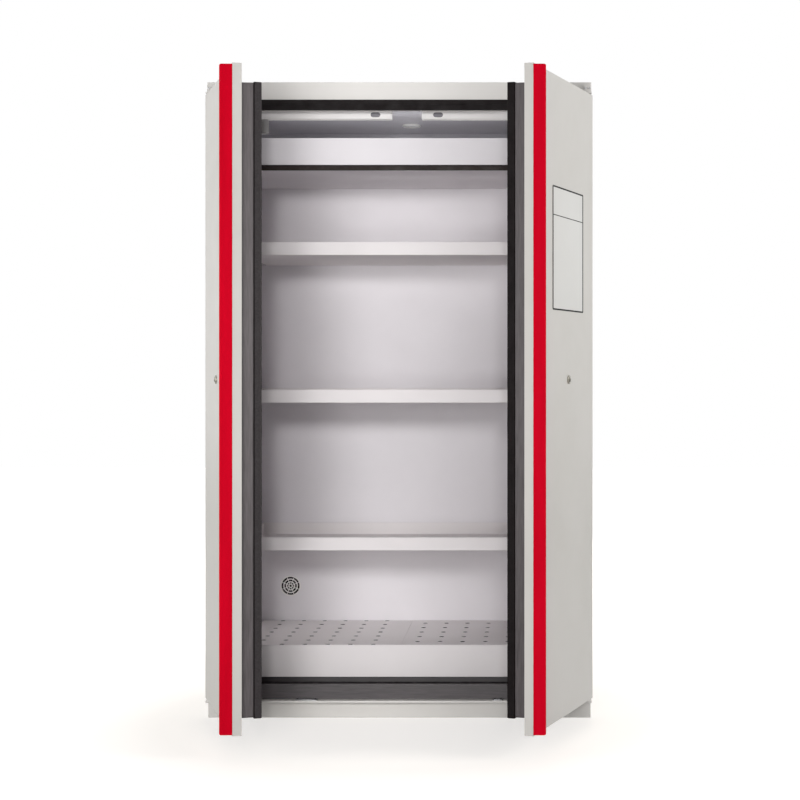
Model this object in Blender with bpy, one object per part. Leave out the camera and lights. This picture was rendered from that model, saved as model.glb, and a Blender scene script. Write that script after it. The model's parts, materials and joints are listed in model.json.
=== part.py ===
"""Flammable safety cabinet: a fire-resistant steel cabinet with two wing doors that stand open.

All lengths are metres, +Z is up and the front looks along -Y. The origin is at floor level, in the
middle of the bounding box. Heights are measured from the floor and depths from the front plane of
the casing, which the object "cabinet_front" places. Each door is modelled in the frame of its own
axis empty: x runs along the leaf from the axis, -y points out of the closed door.
"""
import math

import bmesh
import bpy
from mathutils import Vector

# Clearances
GAP = 0.0003
OVERRUN = 0.004

# Casing
WIDTH = 1.200
HEIGHT = 1.986
DEPTH = 0.640
CASING_SHEET = 0.0015
SIDE_WALL = 0.075
OPENING_LIP = 0.0125
TOP_RAIL_HEIGHT = 0.088
CEILING_RISE = 0.010
LINER_SHEET = 0.002
BACK_WALL = 0.040

# Plinth, ledge and lower frame
PLINTH_HEIGHT = 0.051
PLINTH_RAIL = 0.030
PLINTH_SETBACK = 0.002
LEDGE_THICKNESS = 0.0075
LEDGE_REACH = 0.030
LEDGE_SEAT = 0.040
LEDGE_NOSE = 0.0025
LOWER_FRAME_HEIGHT = 0.045
FLOOR_DROP = 0.0045
FLOOR_BOARD = 0.0363

# Black seals on the front face
SEAL_WIDTH = 0.033
SEAL_THICKNESS = 0.0044
SEAL_GROOVE = 0.0015

# Doors
DOOR_STANDOFF = 0.006
SHELL_DEPTH = 0.026
SHELL_SHEET = 0.002
SHELL_BOTTOM = 0.065
SHELL_TOP_REVEAL = 0.043
SIDE_REVEAL = 0.002
MEETING_GAP = 0.003
HINGE_INSET = 0.012
OPEN_DEGREES = 72.0
PLUG_THICKNESS = 0.037
PLUG_TOP_CLEARANCE = 0.003
PLUG_BOTTOM_CLEARANCE = 0.003
PLUG_HINGE_CLEARANCE = 0.010
PLUG_SETBACK = 0.028
PLUG_CORNER = 0.008
DOOR_SEAL_DEPTH = 0.023
DOOR_SEAL_WIDTH = 0.020
DOOR_SEAL_OVERHANG = 0.002
DOOR_LINER_THICKNESS = 0.019

# Red grip strips
GRIP_PROUD = 0.036
GRIP_BLADE = 0.008
GRIP_FOOT_WIDTH = 0.033
GRIP_FOOT_THICKNESS = 0.003
GRIP_FILLET = 0.006
GRIP_END_RADIUS = 0.005
GRIP_END_INSET = 0.002
GRIP_END_SLANT = 0.003

# Door pivots
PIN_RADIUS = 0.006
PIN_CLEARANCE = 0.0008
PIN_ENGAGEMENT = 0.023
PIVOT_BLOCK_LENGTH = 0.030
PIVOT_BLOCK_HEIGHT = 0.026
BRACKET_HALF_WIDTH = 0.012
BRACKET_SHEET = 0.004
BRACKET_RISE = 0.0035
BRACKET_LEG = 0.030
BRACKET_TOE = 0.015
THRUST_COLLAR_RADIUS = 0.0095

# Locks
LOCK_FROM_AXIS = 0.250
LOCK_HEIGHT = 1.058
ROSETTE_RADIUS = 0.0125
ROSETTE_THICKNESS = 0.004
LOCK_CORE_RADIUS = 0.007
LOCK_CORE_CLEARANCE = 0.0005
LOCK_CORE_PROUD = 0.0015
LOCK_CORE_INSIDE = 0.004
KEYWAY_WIDTH = 0.0016
KEYWAY_LENGTH = 0.008
KEYWAY_DEPTH = 0.003
CAM_LENGTH = 0.030
CAM_WIDTH = 0.008
CAM_THICKNESS = 0.003
CAM_POCKET_CLEARANCE = 0.003

# Inside: lip plane, header, rails and vent
LIP_DEPTH = 0.062
HEADER_DROP = 0.2688
HEADER_HEIGHT = 0.1030
HEADER_RETURN = 0.015
HEADER_SEAL_HEIGHT = 0.018
HEADER_SEAL_THICKNESS = 0.003
RAIL_WIDTH = 0.028
RAIL_HEIGHT = 0.0277
RAIL_WALL = 0.0025
RAIL_END_CLEARANCE = 0.010
RAIL_GAP = 0.095
RAIL_GAP_X = 0.0185
RAIL_SLOT_LENGTH = 0.031
RAIL_SLOT_HEIGHT = 0.0155
RAIL_SLOT_FROM_END = 0.0515
ROLLER_RADIUS = 0.0125
ROLLER_HEIGHT = 0.044
ROLLER_STEM_RADIUS = 0.004
ROLLER_STEM_HEIGHT = 0.010
ROLLER_FROM_SIDE = 0.093
VENT_X = 0.0108
VENT_FROM_BACK = 0.212
VENT_RADIUS = 0.0305
VENT_BORE = 0.024
VENT_DROP = 0.006
SPIGOT_RADIUS = 0.030
SPIGOT_WALL = 0.003
SPIGOT_CLEARANCE = 0.0008
SPIGOT_HEIGHT = 0.045
SPIGOT_FLANGE_RADIUS = 0.045
SPIGOT_FLANGE_THICKNESS = 0.002
GRILLE_FROM_SIDE = 0.100
GRILLE_HEIGHT = 0.338
GRILLE_RADIUS = 0.030
GRILLE_THICKNESS = 0.004
GRILLE_RIM = 0.005
GRILLE_HUB = 0.006
GRILLE_SLOT_WIDTH = 0.0035
GRILLE_SLOTS = 12
DUCT_RADIUS = 0.022

# Shelves, runners and sump
SLOT_FRONT_DEPTH = 0.130
SLOT_FROM_BACK = 0.080
SLOT_FIRST_SHARE = 0.042
SLOT_PITCH_SHARE = 0.04266
SLOT_COUNT = 22
SLOT_HEIGHT = 0.016
SLOT_WIDTH = 0.005
RUNNER_WIDTH = 0.021
RUNNER_HEIGHT = 0.022
RUNNER_SHEET = 0.002
RUNNER_FRONT_DEPTH = 0.100
RUNNER_FROM_BACK = 0.040
SHELF_NAMES = ("lower_shelf", "middle_shelf", "upper_shelf")
LOWER_SHELF_SHARE = 0.19964
SHELF_PITCH_SHARE = 0.31129
TRAY_LIP = 0.041
TRAY_WALL = 0.0015
TRAY_SIDE_CLEARANCE = 0.007
TRAY_BACK_CLEARANCE = 0.0015
SUMP_BOTTOM = 0.117
SUMP_HEIGHT = 0.100
SUMP_WALL = 0.002
SUMP_BACK_CLEARANCE = 0.0060
BEARER_DEPTH = 0.012
BEARER_SETBACK = 0.004
INSERT_THICKNESS = 0.001
INSERT_JOINT = 0.001
HOLE_RADIUS = 0.006
HOLE_PITCH_SHARE = 0.13938
LEFT_HOLE_FIRST_SHARE = 0.86737
LEFT_HOLE_COLUMNS = 6
LEFT_HOLE_ROWS = 7
LEFT_HOLE_MARGIN = 0.009
RIGHT_HOLE_FIRST_SHARE = 0.09266
RIGHT_HOLE_COLUMNS = 7
RIGHT_HOLE_ROWS = 5
RIGHT_ROW_FIRST_SHARE = 0.12406
RIGHT_ROW_PITCH_SHARE = 0.18797

# Facets
PIN_SIDES = 16
ROUND_SIDES = 24
HOLE_SIDES = 8

# Derived places
HALF = WIDTH / 2
OPENING_HALF = HALF - SIDE_WALL
LEDGE_BOTTOM = PLINTH_HEIGHT + GAP
LEDGE_TOP = LEDGE_BOTTOM + LEDGE_THICKNESS
BODY_BASE = LEDGE_TOP + GAP
OPENING_BOTTOM = BODY_BASE + LOWER_FRAME_HEIGHT
OPENING_TOP = HEIGHT - TOP_RAIL_HEIGHT
FLOOR_TOP = OPENING_BOTTOM - FLOOR_DROP
CEILING_BOTTOM = OPENING_TOP + CEILING_RISE
LINER_FRONT = CASING_SHEET + OPENING_LIP + GAP
BACK_FACE = DEPTH - BACK_WALL
BOARD_FRONT = CASING_SHEET + GAP
BOARD_BACK = DEPTH - CASING_SHEET - GAP
SUMP_RIM = SUMP_BOTTOM + SUMP_HEIGHT
HEADER_BOTTOM = HEIGHT - HEADER_DROP
STORAGE_HEIGHT = HEADER_BOTTOM - SUMP_RIM
SHELF_LEVELS = [SUMP_RIM + (LOWER_SHELF_SHARE + step * SHELF_PITCH_SHARE) * STORAGE_HEIGHT
                for step in range(len(SHELF_NAMES))]
SLOT_LEVELS = [SUMP_RIM + (SLOT_FIRST_SHARE + step * SLOT_PITCH_SHARE) * STORAGE_HEIGHT
               for step in range(SLOT_COUNT)]
TRAY_HALF = OPENING_HALF - TRAY_SIDE_CLEARANCE
VENT_DEPTH = BACK_FACE - VENT_FROM_BACK
ROLLER_X = -(OPENING_HALF - ROLLER_FROM_SIDE)
GRILLE_X = -(OPENING_HALF - GRILLE_FROM_SIDE)

SHELL_TOP = HEIGHT - SHELL_TOP_REVEAL
AXIS_X = HALF - HINGE_INSET
AXIS_OUT = DOOR_STANDOFF + SHELL_DEPTH / 2
LEAF = AXIS_X - MEETING_GAP / 2
LEAF_HEEL = HINGE_INSET - SIDE_REVEAL
SHELL_OUT = -SHELL_DEPTH / 2
SHELL_IN = SHELL_DEPTH / 2
PLUG_HEEL = AXIS_X - OPENING_HALF + PLUG_HINGE_CLEARANCE
PLUG_TOE = LEAF - PLUG_SETBACK
PLUG_BOTTOM = OPENING_BOTTOM + PLUG_BOTTOM_CLEARANCE
PLUG_TOP = OPENING_TOP - PLUG_TOP_CLEARANCE
PLUG_FACE = SHELL_IN + PLUG_THICKNESS
GRIP_OUT = SHELL_OUT - GAP - GRIP_PROUD
GRIP_NOSE = GRIP_BLADE / 2
OPEN_ANGLE = math.radians(OPEN_DEGREES)

DOOR_REACH = (AXIS_OUT + (LEAF - GRIP_NOSE) * math.sin(OPEN_ANGLE)
              + (-GRIP_OUT - GRIP_NOSE) * math.cos(OPEN_ANGLE) + GRIP_NOSE)
FRONT_Y = (DOOR_REACH - DEPTH) / 2


# Small tools

def clear_scene():
    for item in list(bpy.data.objects):
        bpy.data.objects.remove(item, do_unlink=True)


def linear(channel):
    value = int(channel, 16) / 255
    return value / 12.92 if value <= 0.04045 else ((value + 0.055) / 1.055) ** 2.4


def make_material(name, hex_colour, roughness, metallic=0.0):
    """A Principled material from an sRGB colour such as "D8D6D2"."""
    material = bpy.data.materials.new(name)
    material.use_nodes = True
    shader = material.node_tree.nodes["Principled BSDF"]
    colour = [linear(hex_colour[start:start + 2]) for start in (0, 2, 4)]
    shader.inputs["Base Color"].default_value = (*colour, 1.0)
    shader.inputs["Roughness"].default_value = roughness
    shader.inputs["Metallic"].default_value = metallic
    material.diffuse_color = (*colour, 1.0)
    return material


def make_empty(name, parent, location, turn=0.0):
    empty = bpy.data.objects.new(name, None)
    bpy.context.scene.collection.objects.link(empty)
    empty.parent = parent
    empty.location = location
    empty.rotation_euler = (0.0, 0.0, turn)
    return empty


def make_object(name, shape, material, parent, location=(0.0, 0.0, 0.0), smooth=False):
    """Turn a bmesh of closed bodies into a named object."""
    bmesh.ops.recalc_face_normals(shape, faces=shape.faces)
    mesh = bpy.data.meshes.new(name)
    shape.to_mesh(mesh)
    shape.free()
    mesh.materials.append(material)
    item = bpy.data.objects.new(name, mesh)
    bpy.context.scene.collection.objects.link(item)
    item.parent = parent
    item.location = location
    if smooth:
        mesh.shade_smooth()
        mesh.set_sharp_from_angle(angle=math.radians(35.0))
    return item


def apply_tool(item, shape, name, operation="DIFFERENCE"):
    """Cut, join or trim an object with a second shape, kept as a hidden guide."""
    bmesh.ops.recalc_face_normals(shape, faces=shape.faces)
    mesh = bpy.data.meshes.new(name)
    shape.to_mesh(mesh)
    shape.free()
    tool = bpy.data.objects.new(name, mesh)
    bpy.context.scene.collection.objects.link(tool)
    tool.parent = item.parent
    tool.location = item.location
    tool.hide_render = True
    tool.display_type = "WIRE"
    modifier = item.modifiers.new(name, "BOOLEAN")
    modifier.operation = operation
    modifier.solver = "EXACT"
    modifier.object = tool
    return item


def place(axis, first, second, along):
    """A point from two coordinates across an axis and one along it."""
    if axis == "X":
        return Vector((along, first, second))
    if axis == "Y":
        return Vector((first, along, second))
    return Vector((first, second, along))


def add_prism(shape, outline, axis, span):
    """Extrude a closed outline along an axis, from span[0] to span[1]."""
    low, high = min(span), max(span)
    corners = [shape.verts.new(place(axis, first, second, low)) for first, second in outline]
    face = shape.faces.new(corners)
    grown = bmesh.ops.extrude_face_region(shape, geom=[face])
    moved = [item for item in grown["geom"] if isinstance(item, bmesh.types.BMVert)]
    bmesh.ops.translate(shape, verts=moved, vec=place(axis, 0.0, 0.0, high - low))


def add_box(shape, x_span, y_span, z_span):
    outline = [(x_span[0], y_span[0]), (x_span[1], y_span[0]),
               (x_span[1], y_span[1]), (x_span[0], y_span[1])]
    add_prism(shape, outline, "Z", z_span)


def circle(centre, radius, sides, start=0.0):
    points = []
    for step in range(sides):
        angle = start + math.tau * step / sides
        points.append((centre[0] + radius * math.cos(angle), centre[1] + radius * math.sin(angle)))
    return points


def arc(centre, radius, start_degrees, end_degrees, steps):
    points = []
    for step in range(steps + 1):
        angle = math.radians(start_degrees + (end_degrees - start_degrees) * step / steps)
        points.append((centre[0] + radius * math.cos(angle), centre[1] + radius * math.sin(angle)))
    return points


def add_turned(shape, profile, axis, centre, sides):
    """Revolve (radius, along) points; a closed ring, or a solid whose ends lie on the axis."""
    solid = profile[0][0] == 0.0
    rings = []
    for radius, along in profile:
        if radius == 0.0:
            rings.append([shape.verts.new(place(axis, *centre, along))])
        else:
            points = circle(centre, radius, sides)
            rings.append([shape.verts.new(place(axis, *point, along)) for point in points])
    pairs = list(zip(rings, rings[1:]))
    if not solid:
        pairs.append((rings[-1], rings[0]))
    for lower, upper in pairs:
        for step in range(sides):
            following = (step + 1) % sides
            corners = [lower[step % len(lower)], lower[following % len(lower)],
                       upper[following % len(upper)], upper[step % len(upper)]]
            shape.faces.new(list(dict.fromkeys(corners)))


def add_pan(shape, x_span, y_span, z_span, wall, base, opens="Z"):
    """A box with one open side: up for "Z", towards +y for "Y"."""
    if opens == "Z":
        spans, order = (x_span, y_span, z_span), (0, 1, 2)
    else:
        spans, order = (x_span, z_span, y_span), (0, 2, 1)

    def corner_loop(inset, level):
        loop = []
        for side_a, side_b in ((0, 0), (1, 0), (1, 1), (0, 1)):
            first = spans[0][side_a] + (inset, -inset)[side_a]
            second = spans[1][side_b] + (inset, -inset)[side_b]
            values = (first, second, level)
            loop.append(shape.verts.new([values[order.index(index)] for index in range(3)]))
        return loop

    bottom, top = spans[2]
    loops = [corner_loop(0.0, bottom), corner_loop(0.0, top),
             corner_loop(wall, top), corner_loop(wall, bottom + base)]
    for lower, upper in zip(loops, loops[1:]):
        for step in range(4):
            following = (step + 1) % 4
            shape.faces.new([lower[step], lower[following], upper[following], upper[step]])
    shape.faces.new(loops[0])
    shape.faces.new(loops[-1])


def add_frame(shape, first_span, second_span, width, axis, span):
    """A rectangular ring of the given width, extruded along an axis."""
    loops = []
    for inset, level in ((0.0, span[0]), (0.0, span[1]), (width, span[1]), (width, span[0])):
        left, right = first_span[0] + inset, first_span[1] - inset
        low, high = second_span[0] + inset, second_span[1] - inset
        corners = ((left, low), (right, low), (right, high), (left, high))
        loops.append([shape.verts.new(place(axis, *corner, level)) for corner in corners])
    for lower, upper in zip(loops, loops[1:] + loops[:1]):
        for step in range(4):
            following = (step + 1) % 4
            shape.faces.new([lower[step], lower[following], upper[following], upper[step]])


def arch(inner_half, outer_half, bottom, inner_top, outer_top):
    """Outline of an upside-down U round an opening, as (x, z) points."""
    return [(-outer_half, bottom), (-outer_half, outer_top), (outer_half, outer_top),
            (outer_half, bottom), (inner_half, bottom), (inner_half, inner_top),
            (-inner_half, inner_top), (-inner_half, bottom)]


def ordered(first, second):
    return (min(first, second), max(first, second))


# Casing

def build_side_panel(name, side, parent, material):
    """A folded sheet: side, front return and a lip that turns into the opening."""
    outline = [(HALF, 0.0), (HALF, DEPTH), (HALF - CASING_SHEET, DEPTH),
               (HALF - CASING_SHEET, CASING_SHEET),
               (OPENING_HALF + GAP + CASING_SHEET, CASING_SHEET),
               (OPENING_HALF + GAP + CASING_SHEET, CASING_SHEET + OPENING_LIP),
               (OPENING_HALF + GAP, CASING_SHEET + OPENING_LIP),
               (OPENING_HALF + GAP, 0.0)]
    shape = bmesh.new()
    add_prism(shape, [(side * x, y) for x, y in outline], "Z", (BODY_BASE, HEIGHT))
    panel = make_object(name, shape, material, parent)
    ends = bmesh.new()
    x_span = ordered(side * OPENING_HALF, side * (OPENING_HALF + OVERRUN))
    y_span = (CASING_SHEET, LINER_FRONT + OVERRUN)
    add_box(ends, x_span, y_span, (BODY_BASE - OVERRUN, OPENING_BOTTOM - CASING_SHEET))
    add_box(ends, x_span, y_span, (OPENING_TOP + CASING_SHEET, HEIGHT + OVERRUN))
    apply_tool(panel, ends, name + "_lip_ends")


def vent_cutter(span):
    shape = bmesh.new()
    outline = circle((VENT_X, VENT_DEPTH), SPIGOT_RADIUS + SPIGOT_CLEARANCE, ROUND_SIDES)
    add_prism(shape, outline, "Z", (span[0] - OVERRUN, span[1] + OVERRUN))
    return shape


def duct_cutter(span):
    shape = bmesh.new()
    outline = circle((GRILLE_X, GRILLE_HEIGHT), DUCT_RADIUS, PIN_SIDES)
    add_prism(shape, outline, "Y", (span[0] - OVERRUN, span[1] + OVERRUN))
    return shape


def build_outer_casing(parent, paint):
    build_side_panel("left_side_panel", -1, parent, paint)
    build_side_panel("right_side_panel", 1, parent, paint)
    inner_half = HALF - CASING_SHEET - GAP

    roof_span = (HEIGHT - CASING_SHEET, HEIGHT)
    shape = bmesh.new()
    add_box(shape, (-inner_half, inner_half), (BOARD_FRONT, BOARD_BACK), roof_span)
    roof = make_object("top_panel", shape, paint, parent)
    apply_tool(roof, vent_cutter(roof_span), "top_panel_vent_hole")

    back_span = (DEPTH - CASING_SHEET, DEPTH)
    shape = bmesh.new()
    add_box(shape, (-inner_half, inner_half), back_span, (BODY_BASE, HEIGHT))
    back = make_object("back_panel", shape, paint, parent)
    apply_tool(back, duct_cutter(back_span), "back_panel_duct_hole")

    shape = bmesh.new()
    add_box(shape, (-inner_half, inner_half), (BOARD_FRONT, BOARD_BACK),
            (BODY_BASE, BODY_BASE + CASING_SHEET))
    make_object("bottom_panel", shape, paint, parent)

    rail = [(0.0, OPENING_TOP), (0.0, HEIGHT), (CASING_SHEET, HEIGHT),
            (CASING_SHEET, OPENING_TOP + CASING_SHEET),
            (CASING_SHEET + OPENING_LIP, OPENING_TOP + CASING_SHEET),
            (CASING_SHEET + OPENING_LIP, OPENING_TOP)]
    shape = bmesh.new()
    add_prism(shape, rail, "X", (-OPENING_HALF, OPENING_HALF))
    make_object("top_rail", shape, paint, parent)


def build_plinth_and_ledge(parent, paint, dark):
    """A ring carries the body; the ledge lies on its low front rail and runs out under the doors."""
    outer = HALF - PLINTH_SETBACK
    shape = bmesh.new()
    add_frame(shape, (-outer, outer), (PLINTH_SETBACK, DEPTH - PLINTH_SETBACK), PLINTH_RAIL, "Z",
              (0.0, LEDGE_TOP))
    plinth = make_object("plinth_frame", shape, paint, parent)
    seat = bmesh.new()
    add_box(seat, (-HALF - OVERRUN, HALF + OVERRUN), (-OVERRUN, LEDGE_SEAT + GAP),
            (PLINTH_HEIGHT, LEDGE_TOP + OVERRUN))
    apply_tool(plinth, seat, "plinth_ledge_seat")

    lower_nose = arc((-LEDGE_REACH + LEDGE_NOSE, LEDGE_BOTTOM + LEDGE_NOSE), LEDGE_NOSE, 270, 180, 4)
    upper_nose = arc((-LEDGE_REACH + LEDGE_NOSE, LEDGE_TOP - LEDGE_NOSE), LEDGE_NOSE, 180, 90, 4)
    outline = lower_nose + upper_nose + [(LEDGE_SEAT, LEDGE_TOP), (LEDGE_SEAT, LEDGE_BOTTOM)]
    shape = bmesh.new()
    add_prism(shape, outline, "X", (-HALF, HALF))
    ledge = make_object("threshold_ledge", shape, paint, parent)
    pins = bmesh.new()
    root = LEDGE_TOP - LEDGE_THICKNESS / 2
    collar_top = SHELL_BOTTOM - GAP
    pin_top = SHELL_BOTTOM + PIN_ENGAGEMENT
    profile = [(0.0, root), (THRUST_COLLAR_RADIUS, root), (THRUST_COLLAR_RADIUS, collar_top),
               (PIN_RADIUS, collar_top), (PIN_RADIUS, pin_top), (0.0, pin_top)]
    for side in (-1, 1):
        add_turned(pins, profile, "Z", (side * AXIS_X, -AXIS_OUT), PIN_SIDES)
    apply_tool(ledge, pins, "ledge_door_pins", "UNION")

    front = -SEAL_THICKNESS - GAP
    behind_plate = -SEAL_THICKNESS / 2
    outline = [(behind_plate, BODY_BASE), (behind_plate, OPENING_BOTTOM),
               (CASING_SHEET + OPENING_LIP, OPENING_BOTTOM),
               (CASING_SHEET + OPENING_LIP, OPENING_BOTTOM - CASING_SHEET),
               (CASING_SHEET, OPENING_BOTTOM - CASING_SHEET), (CASING_SHEET, BODY_BASE)]
    shape = bmesh.new()
    add_prism(shape, outline, "X", (-OPENING_HALF, OPENING_HALF))
    frame = make_object("lower_frame", shape, dark, parent)
    plate = bmesh.new()
    add_box(plate, (-OPENING_HALF - SEAL_WIDTH, OPENING_HALF + SEAL_WIDTH), (front, -GAP),
            (BODY_BASE, OPENING_BOTTOM))
    apply_tool(frame, plate, "lower_frame_plate", "UNION")


def build_opening_seal(parent, black):
    """A flat black arch on the casing's face, round the opening, with a groove along its middle."""
    front = -SEAL_THICKNESS - GAP
    foot = OPENING_BOTTOM + GAP
    shape = bmesh.new()
    add_prism(shape, arch(OPENING_HALF, OPENING_HALF + SEAL_WIDTH, foot,
                          OPENING_TOP, OPENING_TOP + SEAL_WIDTH), "Y", (front, -GAP))
    seal = make_object("opening_seal", shape, black, parent)
    groove = bmesh.new()
    inner = (SEAL_WIDTH - SEAL_GROOVE) / 2
    outer = (SEAL_WIDTH + SEAL_GROOVE) / 2
    add_prism(groove, arch(OPENING_HALF + inner, OPENING_HALF + outer, foot - OVERRUN,
                           OPENING_TOP + inner, OPENING_TOP + outer), "Y",
              (front - OVERRUN, front + SEAL_GROOVE))
    apply_tool(seal, groove, "opening_seal_groove")


def build_fire_boards(parent, board):
    """Boards that fill the walls between the outer sheets and the liners."""
    board_bottom = BODY_BASE + CASING_SHEET + GAP
    board_top = HEIGHT - CASING_SHEET - GAP
    core_half = OPENING_HALF + LINER_SHEET
    floor_board_top = FLOOR_TOP - LINER_SHEET - GAP
    ceiling_board_bottom = CEILING_BOTTOM + LINER_SHEET + GAP
    depth = (BOARD_FRONT, BOARD_BACK)
    for name, side in (("left_fire_board", -1), ("right_fire_board", 1)):
        shape = bmesh.new()
        span = ordered(side * (core_half + GAP), side * (HALF - CASING_SHEET - GAP))
        add_box(shape, span, depth, (board_bottom, board_top))
        make_object(name, shape, board, parent)

    shape = bmesh.new()
    add_box(shape, (-core_half, core_half), depth, (board_bottom, floor_board_top))
    make_object("bottom_fire_board", shape, board, parent)

    top_span = (ceiling_board_bottom, board_top)
    shape = bmesh.new()
    add_box(shape, (-core_half, core_half), depth, top_span)
    top = make_object("top_fire_board", shape, board, parent)
    apply_tool(top, vent_cutter(top_span), "top_board_vent_hole")

    back_span = (BACK_FACE + LINER_SHEET + GAP, BOARD_BACK)
    shape = bmesh.new()
    add_box(shape, (-core_half, core_half), back_span,
            (floor_board_top + GAP, ceiling_board_bottom - GAP))
    back = make_object("back_fire_board", shape, board, parent)
    apply_tool(back, duct_cutter(back_span), "back_board_duct_hole")


def build_liners(parent, liner, dark):
    """White sheets inside the compartment, and the dark ceiling above the header."""
    between = OPENING_HALF - GAP
    floor_bottom = FLOOR_TOP - LINER_SHEET
    ceiling_top = CEILING_BOTTOM + LINER_SHEET
    for name, side in (("left_liner", -1), ("right_liner", 1)):
        shape = bmesh.new()
        span = ordered(side * OPENING_HALF, side * (OPENING_HALF + LINER_SHEET))
        add_box(shape, span, (LINER_FRONT, BACK_FACE + LINER_SHEET), (floor_bottom, ceiling_top))
        side_liner = make_object(name, shape, liner, parent)
        slots = bmesh.new()
        for depth in (SLOT_FRONT_DEPTH, BACK_FACE - SLOT_FROM_BACK):
            for height in SLOT_LEVELS:
                add_box(slots, (span[0] - OVERRUN, span[1] + OVERRUN),
                        (depth - SLOT_WIDTH / 2, depth + SLOT_WIDTH / 2),
                        (height - SLOT_HEIGHT / 2, height + SLOT_HEIGHT / 2))
        apply_tool(side_liner, slots, name + "_slots")

    back_span = (BACK_FACE, BACK_FACE + LINER_SHEET)
    shape = bmesh.new()
    add_box(shape, (-between, between), back_span, (floor_bottom, ceiling_top))
    back = make_object("back_liner", shape, liner, parent)
    apply_tool(back, duct_cutter(back_span), "back_liner_duct_hole")

    shape = bmesh.new()
    add_box(shape, (-between, between), (LINER_FRONT, BACK_FACE - GAP), (floor_bottom, FLOOR_TOP))
    make_object("floor_liner", shape, liner, parent)

    ceiling_span = (CEILING_BOTTOM, ceiling_top)
    shape = bmesh.new()
    add_box(shape, (-between, between), (LINER_FRONT, BACK_FACE - GAP), ceiling_span)
    ceiling = make_object("upper_ceiling", shape, dark, parent)
    apply_tool(ceiling, vent_cutter(ceiling_span), "upper_ceiling_vent_hole")


# Header, closer rails and air path

def build_header(parent, liner, black):
    """One folded sheet is the compartment's ceiling and the header; a black strip lies over its fold."""
    top = HEADER_BOTTOM + HEADER_HEIGHT
    back = BACK_FACE - GAP
    outline = [(LIP_DEPTH, HEADER_BOTTOM), (back, HEADER_BOTTOM), (back, HEADER_BOTTOM + LINER_SHEET),
               (LIP_DEPTH + LINER_SHEET, HEADER_BOTTOM + LINER_SHEET),
               (LIP_DEPTH + LINER_SHEET, top - LINER_SHEET),
               (LIP_DEPTH + HEADER_RETURN, top - LINER_SHEET), (LIP_DEPTH + HEADER_RETURN, top),
               (LIP_DEPTH, top)]
    between = OPENING_HALF - GAP
    shape = bmesh.new()
    add_prism(shape, outline, "X", (-between, between))
    make_object("header_and_ceiling", shape, liner, parent)

    face = LIP_DEPTH - GAP
    front = face - HEADER_SEAL_THICKNESS
    seal_top = HEADER_BOTTOM + HEADER_SEAL_HEIGHT
    outline = [(face, HEADER_BOTTOM), (front + SEAL_GROOVE, HEADER_BOTTOM),
               (front, HEADER_BOTTOM + SEAL_GROOVE), (front, seal_top - SEAL_GROOVE),
               (front + SEAL_GROOVE, seal_top), (face, seal_top)]
    shape = bmesh.new()
    add_prism(shape, outline, "X", (-between, between))
    make_object("header_seal", shape, black, parent)


def obround(centre, length, height, steps=6):
    radius = height / 2
    reach = length / 2 - radius
    right = arc((centre[0] + reach, centre[1]), radius, -90, 90, steps)
    left = arc((centre[0] - reach, centre[1]), radius, 90, 270, steps)
    return right + left


def build_closer_rails(parent, white, steel):
    """Inverted channels under the ceiling, each with an obround window near its inner end."""
    top = CEILING_BOTTOM - GAP
    bottom = top - RAIL_HEIGHT
    near, far = LIP_DEPTH, LIP_DEPTH + RAIL_WIDTH
    channel = [(near, bottom), (near, top), (far, top), (far, bottom), (far - RAIL_WALL, bottom),
               (far - RAIL_WALL, top - RAIL_WALL), (near + RAIL_WALL, top - RAIL_WALL),
               (near + RAIL_WALL, bottom)]
    outer_end = OPENING_HALF - RAIL_END_CLEARANCE
    for name, side in (("left_slide_rail", -1), ("right_slide_rail", 1)):
        inner_end = RAIL_GAP_X + side * RAIL_GAP / 2
        shape = bmesh.new()
        add_prism(shape, channel, "X", ordered(inner_end, side * outer_end))
        rail = make_object(name, shape, white, parent)
        centre = (inner_end + side * RAIL_SLOT_FROM_END, (top + bottom) / 2)
        slot = bmesh.new()
        add_prism(slot, obround(centre, RAIL_SLOT_LENGTH, RAIL_SLOT_HEIGHT), "Y",
                  (near - OVERRUN, near + RAIL_WALL + OVERRUN))
        apply_tool(rail, slot, name + "_window")

    centre = (ROLLER_X, LIP_DEPTH + RAIL_WIDTH / 2)
    roller_top = bottom - GAP
    chamfer = ROLLER_STEM_RADIUS / 2
    profile = [(0.0, roller_top - ROLLER_HEIGHT), (ROLLER_RADIUS - chamfer, roller_top - ROLLER_HEIGHT),
               (ROLLER_RADIUS, roller_top - ROLLER_HEIGHT + chamfer), (ROLLER_RADIUS, roller_top),
               (ROLLER_STEM_RADIUS, roller_top), (ROLLER_STEM_RADIUS, roller_top + ROLLER_STEM_HEIGHT),
               (0.0, roller_top + ROLLER_STEM_HEIGHT)]
    shape = bmesh.new()
    add_turned(shape, profile, "Z", centre, PIN_SIDES)
    make_object("rail_roller", shape, steel, parent, smooth=True)


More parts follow.
